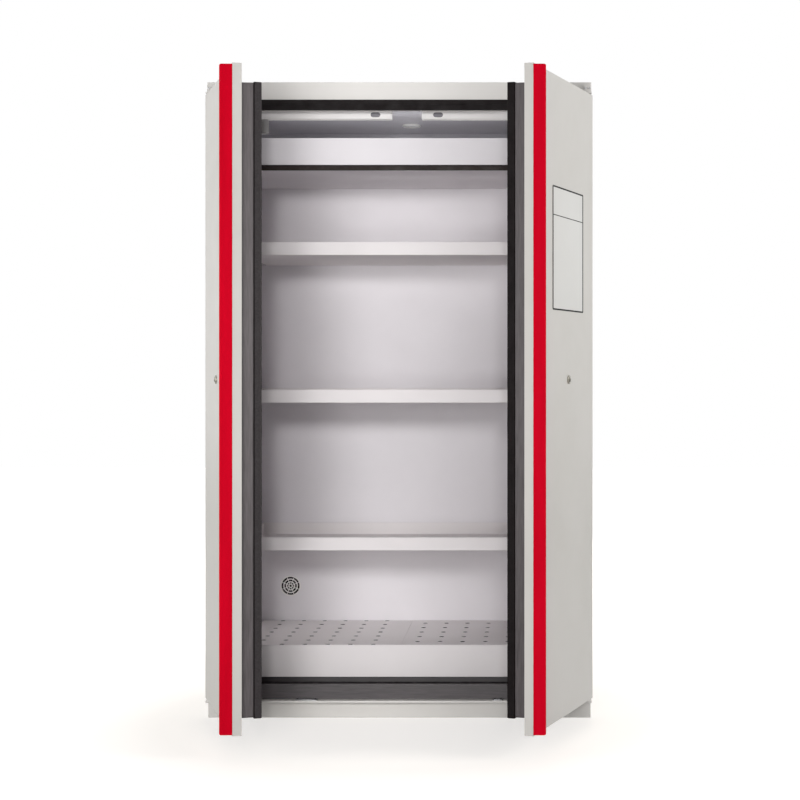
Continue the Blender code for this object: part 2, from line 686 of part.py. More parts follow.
def build_air_path(parent, white, steel):
    """Vent collar in the ceiling, exhaust spigot on the roof and the grille in the back wall."""
    centre = (VENT_X, VENT_DEPTH)
    top = CEILING_BOTTOM - GAP
    chamfer = (VENT_RADIUS - VENT_BORE) / 4
    profile = [(VENT_BORE, top), (VENT_BORE, top - VENT_DROP), (VENT_RADIUS - chamfer, top - VENT_DROP),
               (VENT_RADIUS, top - VENT_DROP + chamfer), (VENT_RADIUS, top)]
    shape = bmesh.new()
    add_turned(shape, profile, "Z", centre, ROUND_SIDES)
    make_object("vent_collar", shape, white, parent, smooth=True)

    flange_bottom = HEIGHT + GAP
    flange_top = flange_bottom + SPIGOT_FLANGE_THICKNESS
    bore = SPIGOT_RADIUS - SPIGOT_WALL
    profile = [(bore, CEILING_BOTTOM), (SPIGOT_RADIUS, CEILING_BOTTOM), (SPIGOT_RADIUS, flange_bottom),
               (SPIGOT_FLANGE_RADIUS, flange_bottom), (SPIGOT_FLANGE_RADIUS, flange_top),
               (SPIGOT_RADIUS, flange_top), (SPIGOT_RADIUS, HEIGHT + SPIGOT_HEIGHT),
               (bore, HEIGHT + SPIGOT_HEIGHT)]
    shape = bmesh.new()
    add_turned(shape, profile, "Z", centre, ROUND_SIDES)
    make_object("exhaust_spigot", shape, steel, parent, smooth=True)

    back = BACK_FACE - GAP
    front = back - GRILLE_THICKNESS
    chamfer = GRILLE_THICKNESS / 4
    profile = [(0.0, back), (GRILLE_RADIUS, back), (GRILLE_RADIUS, front + chamfer),
               (GRILLE_RADIUS - chamfer, front), (0.0, front)]
    shape = bmesh.new()
    add_turned(shape, profile, "Y", (GRILLE_X, GRILLE_HEIGHT), ROUND_SIDES)
    grille = make_object("wall_grille", shape, white, parent)
    slots = bmesh.new()
    inner, outer = GRILLE_HUB, GRILLE_RADIUS - GRILLE_RIM
    half = GRILLE_SLOT_WIDTH / 2
    for step in range(GRILLE_SLOTS):
        angle = math.tau * step / GRILLE_SLOTS
        along = Vector((math.cos(angle), math.sin(angle)))
        across = Vector((-along.y, along.x))
        corners = [along * outer - across * half, along * outer + across * half,
                   along * inner + across * half / 2, along * inner - across * half / 2]
        outline = [(GRILLE_X + corner.x, GRILLE_HEIGHT + corner.y) for corner in corners]
        add_prism(slots, outline, "Y", (front - OVERRUN, back + OVERRUN))
    apply_tool(grille, slots, "wall_grille_slots")


# Shelves and sump

def build_shelf_runners(parent, steel):
    """An angle under each end of each shelf, hooked into the slots of the side liner."""
    root = OPENING_HALF - GAP
    for shelf, level in zip(SHELF_NAMES, SHELF_LEVELS):
        top = level - GAP
        outline = [(root, top), (root - RUNNER_WIDTH, top), (root - RUNNER_WIDTH, top - RUNNER_SHEET),
                   (root - RUNNER_SHEET, top - RUNNER_SHEET), (root - RUNNER_SHEET, top - RUNNER_HEIGHT),
                   (root, top - RUNNER_HEIGHT)]
        for place_name, side in (("left", -1), ("right", 1)):
            shape = bmesh.new()
            add_prism(shape, [(side * x, z) for x, z in outline], "Y",
                      (RUNNER_FRONT_DEPTH, BACK_FACE - RUNNER_FROM_BACK))
            make_object(shelf + "_" + place_name + "_runner", shape, steel, parent)


def build_shelves(parent, paint):
    for name, level in zip(SHELF_NAMES, SHELF_LEVELS):
        shape = bmesh.new()
        add_pan(shape, (-TRAY_HALF, TRAY_HALF), (LIP_DEPTH, BACK_FACE - TRAY_BACK_CLEARANCE),
                (level, level + TRAY_LIP), TRAY_WALL, TRAY_WALL)
        make_object(name, shape, paint, parent)


def add_hole_field(shape, columns, rows, z_span):
    for x in columns:
        for y in rows:
            add_prism(shape, circle((x, y), HOLE_RADIUS, HOLE_SIDES, math.pi / HOLE_SIDES), "Z", z_span)


def build_sump(parent, paint, black):
    """The spill sump, the black frame under it and the two perforated inserts on its rim."""
    half = TRAY_HALF
    back = BACK_FACE - SUMP_BACK_CLEARANCE
    rim = SUMP_RIM
    shape = bmesh.new()
    add_pan(shape, (-half, half), (LIP_DEPTH, back), (SUMP_BOTTOM, rim), SUMP_WALL, SUMP_WALL)
    make_object("sump_tray", shape, paint, parent)

    shape = bmesh.new()
    add_frame(shape, (-half, half), (LIP_DEPTH + BEARER_SETBACK, back - BEARER_SETBACK), BEARER_DEPTH, "Z",
              (FLOOR_TOP + GAP, SUMP_BOTTOM - GAP))
    make_object("sump_bearer", shape, black, parent)

    plate = (rim + GAP, rim + GAP + INSERT_THICKNESS)
    cut_span = (plate[0] - OVERRUN, plate[1] + OVERRUN)
    depth = (LIP_DEPTH, back)
    first_row = LIP_DEPTH + LEFT_HOLE_MARGIN
    last_row = back - LEFT_HOLE_MARGIN
    left_rows = [first_row + (last_row - first_row) * step / (LEFT_HOLE_ROWS - 1)
                 for step in range(LEFT_HOLE_ROWS)]
    left_columns = [(step * HOLE_PITCH_SHARE - LEFT_HOLE_FIRST_SHARE) * half
                    for step in range(LEFT_HOLE_COLUMNS)]
    right_rows = [depth[0] + (RIGHT_ROW_FIRST_SHARE + step * RIGHT_ROW_PITCH_SHARE) * (depth[1] - depth[0])
                  for step in range(RIGHT_HOLE_ROWS)]
    right_columns = [(RIGHT_HOLE_FIRST_SHARE + step * HOLE_PITCH_SHARE) * half
                     for step in range(RIGHT_HOLE_COLUMNS)]
    inserts = (("left_insert", (-half, -INSERT_JOINT / 2), left_columns, left_rows),
               ("right_insert", (INSERT_JOINT / 2, half), right_columns, right_rows))
    for name, span, columns, rows in inserts:
        shape = bmesh.new()
        add_box(shape, span, depth, plate)
        insert = make_object(name, shape, paint, parent)
        holes = bmesh.new()
        add_hole_field(holes, columns, rows, cut_span)
        apply_tool(insert, holes, name + "_holes")


# Door pivots on the casing

def build_top_bracket(name, side, parent, steel):
    """An angle on the top rail whose toe carries the upper pin of a door."""
    axis = (side * AXIS_X, -AXIS_OUT)
    bottom = SHELL_TOP + BRACKET_RISE
    outline = [(-AXIS_OUT - BRACKET_TOE, bottom), (-AXIS_OUT - BRACKET_TOE, bottom + BRACKET_SHEET),
               (-GAP - BRACKET_SHEET, bottom + BRACKET_SHEET), (-GAP - BRACKET_SHEET, bottom + BRACKET_LEG),
               (-GAP, bottom + BRACKET_LEG), (-GAP, bottom)]
    shape = bmesh.new()
    add_prism(shape, outline, "X",
              ordered(side * (AXIS_X - BRACKET_HALF_WIDTH), side * (AXIS_X + BRACKET_HALF_WIDTH)))
    bracket = make_object(name, shape, steel, parent)
    pin = bmesh.new()
    add_prism(pin, circle(axis, PIN_RADIUS, PIN_SIDES), "Z",
              (SHELL_TOP - PIN_ENGAGEMENT, bottom + BRACKET_SHEET / 2))
    apply_tool(bracket, pin, name + "_pin", "UNION")


# Doors, each in the frame of its own axis

class Door:
    """One wing door; side is -1 for the left door and 1 for the right one."""

    def __init__(self, prefix, side, parent):
        self.prefix = prefix
        self.side = side
        self.axis = make_empty(prefix + "_door_axis", parent,
                               (side * AXIS_X, -AXIS_OUT, 0.0), side * OPEN_ANGLE)

    def span(self, heel, toe):
        """A run along the leaf, from the axis towards the free edge."""
        return ordered(-self.side * heel, -self.side * toe)

    def along(self, distance):
        return -self.side * distance

    def name(self, piece):
        return self.prefix + "_" + piece


def bearing_spans(door):
    """Run along the leaf and the two height spans of the bearing blocks in the shell's corners."""
    heel = -LEAF_HEEL + SHELL_SHEET / 2
    bottom = SHELL_BOTTOM + SHELL_SHEET / 2
    top = SHELL_TOP - SHELL_SHEET / 2
    return (door.span(heel, heel + PIVOT_BLOCK_LENGTH),
            ((bottom, bottom + PIVOT_BLOCK_HEIGHT), (top - PIVOT_BLOCK_HEIGHT, top)))


def build_door_shell(door, paint):
    """A folded pan with a bearing block welded into each corner on the hinge side."""
    shape = bmesh.new()
    add_pan(shape, door.span(-LEAF_HEEL, LEAF), (SHELL_OUT, SHELL_IN), (SHELL_BOTTOM, SHELL_TOP),
            SHELL_SHEET, SHELL_SHEET, opens="Y")
    shell = make_object(door.name("door_shell"), shape, paint, door.axis)

    blocks = bmesh.new()
    x_span, block_heights = bearing_spans(door)
    for heights in block_heights:
        add_box(blocks, x_span, (SHELL_OUT + SHELL_SHEET / 2, SHELL_IN - SHELL_SHEET - GAP), heights)
    apply_tool(shell, blocks, door.name("door_bearing_blocks"), "UNION")

    cuts = bmesh.new()
    bore = PIN_RADIUS + PIN_CLEARANCE
    for low, high in ((SHELL_BOTTOM, block_heights[0][1]), (block_heights[1][0], SHELL_TOP)):
        add_prism(cuts, circle((0.0, 0.0), bore, PIN_SIDES), "Z", (low - OVERRUN, high + OVERRUN))
    lock = (door.along(LOCK_FROM_AXIS), LOCK_HEIGHT)
    add_prism(cuts, circle(lock, LOCK_CORE_RADIUS + LOCK_CORE_CLEARANCE, PIN_SIDES), "Y",
              (SHELL_OUT - OVERRUN, SHELL_OUT + OVERRUN))
    apply_tool(shell, cuts, door.name("door_shell_bores"))


def build_door_insulation(door, board):
    """The board inside the shell, with room for the bearing blocks and the lock's cam."""
    edge = SHELL_SHEET + GAP
    flange_inner = SHELL_IN - SHELL_SHEET - GAP
    shape = bmesh.new()
    add_box(shape, door.span(-LEAF_HEEL + edge, LEAF - edge), (SHELL_OUT + edge, flange_inner),
            (SHELL_BOTTOM + edge, SHELL_TOP - edge))
    insulation = make_object(door.name("door_insulation"), shape, board, door.axis)
    cuts = bmesh.new()
    x_span, block_heights = bearing_spans(door)
    x_cut = (x_span[0] - GAP, x_span[1] + GAP)
    y_cut = (SHELL_OUT - OVERRUN, SHELL_IN + OVERRUN)
    low, high = block_heights
    add_box(cuts, x_cut, y_cut, (low[0] - OVERRUN, low[1] + GAP))
    add_box(cuts, x_cut, y_cut, (high[0] - GAP, high[1] + OVERRUN))
    pocket = CAM_LENGTH + CAM_POCKET_CLEARANCE
    add_prism(cuts, circle((door.along(LOCK_FROM_AXIS), LOCK_HEIGHT), pocket, PIN_SIDES), "Y", y_cut)
    apply_tool(insulation, cuts, door.name("door_insulation_pockets"))


def build_door_plug(door, dark):
    """The dark block that enters the opening, on a thin flange that closes the shell's back."""
    edge = SHELL_SHEET + GAP
    shape = bmesh.new()
    add_box(shape, door.span(-LEAF_HEEL + edge, LEAF - edge), (SHELL_IN - SHELL_SHEET, SHELL_IN),
            (SHELL_BOTTOM + edge, SHELL_TOP - edge))
    plug = make_object(door.name("door_plug"), shape, dark, door.axis)
    left, right = door.span(PLUG_HEEL, PLUG_TOE)
    outline = (arc((right - PLUG_CORNER, PLUG_BOTTOM + PLUG_CORNER), PLUG_CORNER, -90, 0, 3)
               + arc((right - PLUG_CORNER, PLUG_TOP - PLUG_CORNER), PLUG_CORNER, 0, 90, 3)
               + arc((left + PLUG_CORNER, PLUG_TOP - PLUG_CORNER), PLUG_CORNER, 90, 180, 3)
               + arc((left + PLUG_CORNER, PLUG_BOTTOM + PLUG_CORNER), PLUG_CORNER, 180, 270, 3))
    block = bmesh.new()
    add_prism(block, outline, "Y", (SHELL_IN - SHELL_SHEET / 2, PLUG_FACE))
    apply_tool(plug, block, door.name("door_plug_block"), "UNION")


def build_door_seal_and_liner(door, black, liner):
    """A black ring round the plug's inner face, and the sheet that it frames."""
    heel = PLUG_HEEL - DOOR_SEAL_OVERHANG
    toe = PLUG_TOE + DOOR_SEAL_OVERHANG
    bottom = PLUG_BOTTOM - DOOR_SEAL_OVERHANG
    top = PLUG_TOP + DOOR_SEAL_OVERHANG
    shape = bmesh.new()
    add_frame(shape, door.span(heel, toe), (bottom, top), DOOR_SEAL_WIDTH, "Y",
              (PLUG_FACE + GAP, PLUG_FACE + DOOR_SEAL_DEPTH))
    make_object(door.name("door_seal"), shape, black, door.axis)

    inset = DOOR_SEAL_WIDTH + GAP
    shape = bmesh.new()
    add_box(shape, door.span(heel + inset, toe - inset),
            (PLUG_FACE + GAP, PLUG_FACE + GAP + DOOR_LINER_THICKNESS), (bottom + inset, top - inset))
    make_object(door.name("door_liner"), shape, liner, door.axis)


def build_grip_strip(door, red):
    """An angle as high as the door: foot on the shell's face, blade along the free edge, slanted ends."""
    face = SHELL_OUT - GAP
    foot_out = face - GRIP_FOOT_THICKNESS
    blade_back = LEAF - GRIP_BLADE
    nose = arc((LEAF - GRIP_NOSE, GRIP_OUT + GRIP_NOSE), GRIP_NOSE, 0, -180, 6)
    fillet = arc((blade_back - GRIP_FILLET, foot_out - GRIP_FILLET), GRIP_FILLET, 0, 90, 4)
    outline = [(LEAF, face)] + nose + fillet + [(LEAF - GRIP_FOOT_WIDTH, foot_out),
                                                (LEAF - GRIP_FOOT_WIDTH, face)]
    shape = bmesh.new()
    add_prism(shape, [(door.along(x), y) for x, y in outline], "Z", (SHELL_BOTTOM, SHELL_TOP))
    grip = make_object(door.name("grip_strip"), shape, red, door.axis)

    radius = GRIP_END_RADIUS
    low = SHELL_BOTTOM + GRIP_END_INSET
    high = SHELL_TOP - GRIP_END_INSET
    nose_low = low + GRIP_END_SLANT + radius
    nose_high = high - GRIP_END_SLANT - radius
    trim = ([(SHELL_IN, low)]
            + arc((GRIP_OUT + radius, nose_low), radius, 270, 180, 4)
            + arc((GRIP_OUT + radius, nose_high), radius, 180, 90, 4)
            + [(SHELL_IN, high)])
    keep = bmesh.new()
    add_prism(keep, trim, "X", door.span(LEAF - GRIP_FOOT_WIDTH - OVERRUN, LEAF + OVERRUN))
    apply_tool(grip, keep, door.name("grip_strip_ends"), "INTERSECT")


def build_lock(door, steel):
    """A fixed rosette and the turning core, whose cam moves in a pocket of the insulation."""
    lock = (door.along(LOCK_FROM_AXIS), LOCK_HEIGHT)
    face = SHELL_OUT - GAP
    chamfer = ROSETTE_THICKNESS / 4
    bore = LOCK_CORE_RADIUS + LOCK_CORE_CLEARANCE
    profile = [(bore, face), (ROSETTE_RADIUS, face), (ROSETTE_RADIUS, face - ROSETTE_THICKNESS + chamfer),
               (ROSETTE_RADIUS - chamfer, face - ROSETTE_THICKNESS), (bore, face - ROSETTE_THICKNESS)]
    shape = bmesh.new()
    add_turned(shape, profile, "Y", lock, ROUND_SIDES)
    make_object(door.name("lock_rosette"), shape, steel, door.axis, smooth=True)

    outer_end = face - ROSETTE_THICKNESS - LOCK_CORE_PROUD
    shape = bmesh.new()
    add_prism(shape, circle((0.0, 0.0), LOCK_CORE_RADIUS, PIN_SIDES), "Y", (outer_end, LOCK_CORE_INSIDE))
    core = make_object(door.name("lock_core"), shape, steel, door.axis, (lock[0], 0.0, lock[1]))
    half = CAM_WIDTH / 2
    cam_outline = (arc((0.0, 0.0), half, 180, 360, 6)
                   + arc((0.0, CAM_LENGTH - half), half, 0, 180, 6))
    cam = bmesh.new()
    add_prism(cam, cam_outline, "Y", (LOCK_CORE_INSIDE - CAM_THICKNESS / 2,
                                      LOCK_CORE_INSIDE + CAM_THICKNESS / 2))
    apply_tool(core, cam, door.name("lock_cam"), "UNION")
    keyway = bmesh.new()
    add_box(keyway, (-KEYWAY_WIDTH / 2, KEYWAY_WIDTH / 2), (outer_end - OVERRUN, outer_end + KEYWAY_DEPTH),
            (-KEYWAY_LENGTH / 2, KEYWAY_LENGTH / 2))
    apply_tool(core, keyway, door.name("keyway"))


def build_door(prefix, side, parent, materials):
    door = Door(prefix, side, parent)
    build_door_shell(door, materials["door_paint"])
    build_door_insulation(door, materials["board"])
    build_door_plug(door, materials["dark"])
    build_door_seal_and_liner(door, materials["black"], materials["liner"])
    build_grip_strip(door, materials["red"])
    build_lock(door, materials["steel"])


def make_materials():
    return {
        "paint": make_material("casing_paint", "DEDAD6", 0.42),
        "door_paint": make_material("door_paint", "D5D3CE", 0.40),
        "liner": make_material("liner_white", "DCD8DB", 0.45),
        "tray": make_material("tray_paint", "DDD6D6", 0.42),
        "white": make_material("rail_white", "E6E4E1", 0.40),
        "dark": make_material("dark_grey", "4A4345", 0.60),
        "black": make_material("seal_black", "0D0A0B", 0.70),
        "board": make_material("fire_board", "B9B2A6", 0.90),
        "steel": make_material("plated_steel", "B8B8BA", 0.35, 0.9),
        "red": make_material("grip_red", "DC0022", 0.35),
    }


def build_cabinet():
    clear_scene()
    materials = make_materials()
    front = make_empty("cabinet_front", None, (0.0, FRONT_Y, 0.0))
    build_outer_casing(front, materials["paint"])
    build_plinth_and_ledge(front, materials["paint"], materials["dark"])
    build_opening_seal(front, materials["black"])
    build_fire_boards(front, materials["board"])
    build_liners(front, materials["liner"], materials["dark"])
    build_header(front, materials["liner"], materials["black"])
    build_closer_rails(front, materials["white"], materials["steel"])
    build_air_path(front, materials["white"], materials["steel"])
    build_shelf_runners(front, materials["steel"])
    build_shelves(front, materials["tray"])
    build_sump(front, materials["tray"], materials["black"])
    build_top_bracket("left_top_bracket", -1, front, materials["steel"])
    build_top_bracket("right_top_bracket", 1, front, materials["steel"])
    build_door("left", -1, front, materials)
    build_door("right", 1, front, materials)


build_cabinet()
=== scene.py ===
"""Looks of the flammable safety cabinet: finishes, softened edges and small pieces on the CAD frame."""
import json
import math

import bmesh
import bpy
import numpy as np
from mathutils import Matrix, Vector

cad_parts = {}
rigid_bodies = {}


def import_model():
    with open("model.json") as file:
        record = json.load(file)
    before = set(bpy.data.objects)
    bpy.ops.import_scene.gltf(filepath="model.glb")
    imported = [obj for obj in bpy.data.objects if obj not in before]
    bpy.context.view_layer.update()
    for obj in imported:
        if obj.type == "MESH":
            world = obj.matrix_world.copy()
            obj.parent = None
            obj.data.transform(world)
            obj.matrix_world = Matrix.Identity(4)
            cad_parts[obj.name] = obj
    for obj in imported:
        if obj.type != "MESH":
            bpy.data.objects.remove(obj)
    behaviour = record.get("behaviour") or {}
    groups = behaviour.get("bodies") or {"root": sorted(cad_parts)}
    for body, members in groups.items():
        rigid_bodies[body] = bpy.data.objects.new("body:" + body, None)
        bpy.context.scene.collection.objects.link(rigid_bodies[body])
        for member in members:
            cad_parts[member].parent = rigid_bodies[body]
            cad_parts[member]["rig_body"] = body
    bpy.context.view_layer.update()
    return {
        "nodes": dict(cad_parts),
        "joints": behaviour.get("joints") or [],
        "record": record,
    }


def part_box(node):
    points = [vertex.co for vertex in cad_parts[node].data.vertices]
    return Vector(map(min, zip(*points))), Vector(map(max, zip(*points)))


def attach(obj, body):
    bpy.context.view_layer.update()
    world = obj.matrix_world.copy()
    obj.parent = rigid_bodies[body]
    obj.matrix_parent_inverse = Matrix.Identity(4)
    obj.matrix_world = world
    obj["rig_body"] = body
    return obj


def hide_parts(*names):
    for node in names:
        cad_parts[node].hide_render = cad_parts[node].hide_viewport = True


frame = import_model()

# Sizes in metres
MM = 0.001
FRONT_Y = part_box("top_rail")[0].y
CAMERA_X = 0.424
CAMERA_HEIGHT = 1.079
CAMERA_DISTANCE = 5.350
PHOTO_SIZE = 800
FOCAL_PX = 1712
PRINCIPAL_PX = (535, 372.5)
SENSOR_MM = 36.0
OPEN_ANGLE = math.radians(-next(joint for joint in frame["joints"]
                                if joint["name"] == "right_door_hinge")["range_deg"][0])
SHARP_DEGREES = 32.0


# Colour and node helpers

def srgb(code, alpha=1.0):
    """A linear colour from an sRGB hex code such as "D8D6D2"."""
    channels = np.array([int(code[start:start + 2], 16) for start in (0, 2, 4)]) / 255
    curved = np.where(channels <= 0.04045, channels / 12.92, ((channels + 0.055) / 1.055) ** 2.4)
    return (*curved.tolist(), alpha)


def add_node(tree, kind, settings=None, **links):
    """Add a shader node; settings go to attributes, links to inputs as sockets or plain values."""
    node = tree.nodes.new(kind)
    for name, value in (settings or {}).items():
        setattr(node, name, value)
    for name, value in links.items():
        key = name.replace("_", " ")
        socket = node.inputs[int(key[1:])] if key[1:].isdigit() else node.inputs[key]
        if isinstance(value, bpy.types.NodeSocket):
            tree.links.new(value, socket)
        else:
            socket.default_value = value
    return node


def start_material(name, roughness, metallic=0.0, **shader_values):
    """A new material with its Principled shader set; returns material, tree and shader."""
    material = bpy.data.materials.new(name)
    material.use_nodes = True
    tree = material.node_tree
    shader = tree.nodes["Principled BSDF"]
    shader.inputs["Roughness"].default_value = roughness
    shader.inputs["Metallic"].default_value = metallic
    for key, value in shader_values.items():
        shader.inputs[key.replace("_", " ")].default_value = value
    return material, tree, shader


def object_noise(tree, wavelength, detail=2.0, stretch=(1.0, 1.0, 1.0)):
    """Noise on object coordinates whose grain is about one wavelength, in metres, across."""
    place = add_node(tree, "ShaderNodeTexCoord")
    scaled = add_node(tree, "ShaderNodeMapping", Vector=place.outputs["Object"],
                      Scale=tuple(1.0 / (wavelength * part) for part in stretch))
    return add_node(tree, "ShaderNodeTexNoise", Vector=scaled.outputs["Vector"], Scale=1.0,
                    Detail=detail, Roughness=0.55).outputs["Fac"]


def colour_between(tree, factor, codes, stops=None):
    """A ramp over the factor, with evenly spread or given stops."""
    ramp = add_node(tree, "ShaderNodeValToRGB", Fac=factor)
    spread = stops or [step / (len(codes) - 1) for step in range(len(codes))]
    elements = ramp.color_ramp.elements
    while len(elements) < len(codes):
        elements.new(0.5)
    for element, stop, code in zip(elements, spread, codes):
        element.position = stop
        element.color = srgb(code)
    return ramp.outputs["Color"]


def add_bump(tree, shader, height, depth, strength=1.0):
    """Bump from a height, whose full depth is in metres."""
    bump = add_node(tree, "ShaderNodeBump", Height=height, Distance=depth, Strength=strength)
    tree.links.new(bump.outputs["Normal"], shader.inputs["Normal"])


def vary(tree, socket, factor, low, high):
    """Drive a shader value from a 0 to 1 factor, between two limits."""
    span = add_node(tree, "ShaderNodeMapRange", Value=factor, From_Min=0.3, From_Max=0.7,
                    To_Min=low, To_Max=high)
    tree.links.new(span.outputs["Result"], socket)


# Finishes

def powder_coat(name, light, dark, roughness=0.42, grain=6 * MM, shine=0.45, peel_strength=0.12):
    """Polyester powder coat baked on sheet steel: an even colour with a faint orange peel."""
    material, tree, shader = start_material(name, roughness, Specular_IOR_Level=shine)
    patches = object_noise(tree, 0.35, detail=3.0)
    tree.links.new(colour_between(tree, patches, (dark, light), (0.3, 0.7)), shader.inputs["Base Color"])
    peel = object_noise(tree, grain, detail=1.0)
    vary(tree, shader.inputs["Roughness"], object_noise(tree, 0.09), roughness - 0.03, roughness + 0.04)
    add_bump(tree, shader, peel, 0.05 * MM, peel_strength)
    return material


def red_lacquer():
    """Signal red lacquer on a rolled steel strip: a deep even red with hardly any shine."""
    material, tree, shader = start_material("red_lacquered_steel", 0.5, Specular_IOR_Level=0.03)
    streaks = object_noise(tree, 0.03, detail=2.0, stretch=(1.0, 1.0, 12.0))
    tree.links.new(colour_between(tree, streaks, ("C8001E", "D40022"), (0.3, 0.7)),
                   shader.inputs["Base Color"])
    add_bump(tree, shader, streaks, 0.1 * MM, 0.2)
    return material


def laminated_board(name, light, dark, along=(1.0, 1.0, 14.0), roughness=0.42, shine=0.5):
    """High pressure laminate on board: a brushed look, fine streaks along the length."""
    material, tree, shader = start_material(name, roughness, Specular_IOR_Level=shine)
    streaks = object_noise(tree, 4 * MM, detail=4.0, stretch=along)
    patches = object_noise(tree, 0.22, detail=2.0)
    mixed = add_node(tree, "ShaderNodeMath", {"operation": "MULTIPLY_ADD"}, _0=streaks, _1=0.75,
                     _2=0.0)
    added = add_node(tree, "ShaderNodeMath", {"operation": "MULTIPLY_ADD"}, _0=patches, _1=0.25,
                     _2=mixed.outputs["Value"])
    tree.links.new(colour_between(tree, added.outputs["Value"], (dark, light), (0.32, 0.68)),
                   shader.inputs["Base Color"])
    vary(tree, shader.inputs["Roughness"], streaks, roughness - 0.08, roughness + 0.08)
    add_bump(tree, shader, streaks, 0.06 * MM, 0.3)
    return material


def swelling_seal(name="graphite_swelling_seal", light="181112", dark="0A0606", roughness=0.6):
    """Graphite strip under a thin black film: nearly black, a soft sheen and small dents."""
    material, tree, shader = start_material(name, roughness, Specular_IOR_Level=0.12)
    grain = object_noise(tree, 5 * MM, detail=3.0)
    tree.links.new(colour_between(tree, grain, (dark, light), (0.35, 0.75)), shader.inputs["Base Color"])
    dents = object_noise(tree, 0.03, detail=2.0)
    vary(tree, shader.inputs["Roughness"], dents, roughness - 0.12, roughness + 0.12)
    add_bump(tree, shader, dents, 0.5 * MM, 0.4)
    return material


def zinc_plate(name="zinc_plated_steel", light="C9C8C6", dark="A3A3A6"):
    """Zinc plating on pressed steel: satin grey metal with soft cloudy patches."""
    material, tree, shader = start_material(name, 0.36, metallic=1.0)
    clouds = object_noise(tree, 0.018, detail=3.0)
    tree.links.new(colour_between(tree, clouds, (dark, light), (0.3, 0.7)),
                   shader.inputs["Base Color"])
    vary(tree, shader.inputs["Roughness"], clouds, 0.28, 0.45)
    add_bump(tree, shader, object_noise(tree, 3 * MM), 0.03 * MM, 0.4)
    return material


def nickel_lock():
    """Nickel-plated zinc die casting: warm grey metal, turned and slightly worn."""
    material, tree, shader = start_material("nickel_plated_lock", 0.3, metallic=1.0)
    wear = object_noise(tree, 4 * MM, detail=3.0)
    tree.links.new(colour_between(tree, wear, ("8C8A80", "B9B6AB"), (0.3, 0.7)),
                   shader.inputs["Base Color"])
    vary(tree, shader.inputs["Roughness"], wear, 0.22, 0.42)
    return material


def gypsum_board():
    """Glass-fibre gypsum board: chalky pale beige with specks and sawn pores."""
    material, tree, shader = start_material("gypsum_fibre_board", 0.92, Specular_IOR_Level=0.2)
    specks = object_noise(tree, 2.5 * MM, detail=5.0)
    tree.links.new(colour_between(tree, specks, ("A69F92", "C9C2B5"), (0.3, 0.7)),
                   shader.inputs["Base Color"])
    add_bump(tree, shader, specks, 0.4 * MM, 0.6)
    return material


FINISHES = {
    "casing_paint": powder_coat("light_grey_powder_coat", "DFDCD8", "D9D6D1", 0.42),
    "door_paint": powder_coat("door_grey_powder_coat", "D0CDC8", "CAC7C1", 0.42),
    "liner_white": powder_coat("liner_white_coat", "E6E2E5", "DEDADD", 0.5),
    "tray_paint": powder_coat("tray_grey_powder_coat", "E8E3E3", "E2DDDD", 0.5, shine=0.4,
                              peel_strength=0.03),
    "rail_white": powder_coat("rail_white_powder_coat", "EEECEA", "E8E5E2", 0.55, shine=0.3,
                              peel_strength=0.03),
    "dark_grey": laminated_board("dark_grey_laminate", "655F60", "4F494A"),
    "seal_black": swelling_seal(),
    "fire_board": gypsum_board(),
    "plated_steel": zinc_plate(),
    "grip_red": red_lacquer(),
}
CEILING_COAT = powder_coat("closer_space_gloss_coat", "DAD8DD", "D0CED4", 0.12, shine=0.6)
FRAME_LAMINATE = laminated_board("lower_frame_laminate", "524D4E", "3E393B", along=(14.0, 1.0, 1.0))
UPPER_BACK_COAT = powder_coat("upper_back_grey_coat", "D0CED3", "C8C6CB", 0.5)
# Lighter copy of the tray coat for the perforated inserts: painted light on their upward faces.
INSERT_LIGHTENED_COAT = powder_coat("perforated_sheet_lightened_coat", "F0ECEC", "ECE7E7", 0.5, shine=0.4,
                          peel_strength=0.03)
ROLLER_PLASTIC = powder_coat("grey_nylon_roller", "A3A1A0", "939190", 0.45)
COLLAR_PLASTIC = powder_coat("pale_collar_plastic", "F6F5F3", "F0EFED", 0.45)
# Darker copy of the casing coat for the top rail: painted shade, the rail drawn darker where light falls
# off towards the top.
TOP_RAIL_SHADED_COAT = powder_coat("top_rail_shaded_powder_coat", "D6D3CF", "CECBC7", 0.42)
BEARER_LAMINATE = laminated_board("bearer_laminate", "332E2F", "252122", along=(14.0, 1.0, 1.0))
# Darker copy of the dark grey laminate for the right door's plug: painted shade, as it catches less light
# than the left plug.
RIGHT_PLUG_SHADED_LAMINATE = laminated_board("right_plug_shaded_laminate", "5A5455", "453F40")
STRIP_FILM = swelling_seal("brown_black_strip_film", "332B29", "241E1C", 0.55)
# Dark grey for the disc behind the duct grille's ribs: painted shade in its slots.
DUCT_SHADE = swelling_seal("painted_duct_slot_shade", "3E393A", "2E292B", 0.6)
# Lighter copy of the black seal film for the left door's seal: a painted sheen, standing in for a lamp's
# reflection on it.
LEFT_SEAL_SHEEN_FILM = swelling_seal("left_seal_painted_sheen_film", "3F3B3C", "312D2E", 0.5)
DULL_ZINC = zinc_plate("dull_zinc_plated_steel", "8B8B8C", "6F6F71")
SLIDE_PLASTIC = powder_coat("grey_slide_block_plastic", "77757A", "6B696E", 0.5)
LOCK_NICKEL = nickel_lock()
# Black for the keyways, catch screws and gauze; in the inserts' holes the same black is painted shade.
KEYWAY_BLACK_AND_HOLE_SHADE = swelling_seal("blackened_keyway_and_hole_shade", "15130F", "080706", 0.5)
PLATE_WHITE = powder_coat("printed_plate_white", "DAD9D5", "D8D7D3", 0.4)
PLATE_INK = swelling_seal("matt_black_print", "1E1D1D", "141313", 0.5)

SLOT_OF = {entry["node"]: entry["material_slot"] for entry in frame["record"]["subparts"]}


def paint(item, material):
    """Give a piece one material in place of those that it has."""
    item.data.materials.clear()
    item.data.materials.append(material)


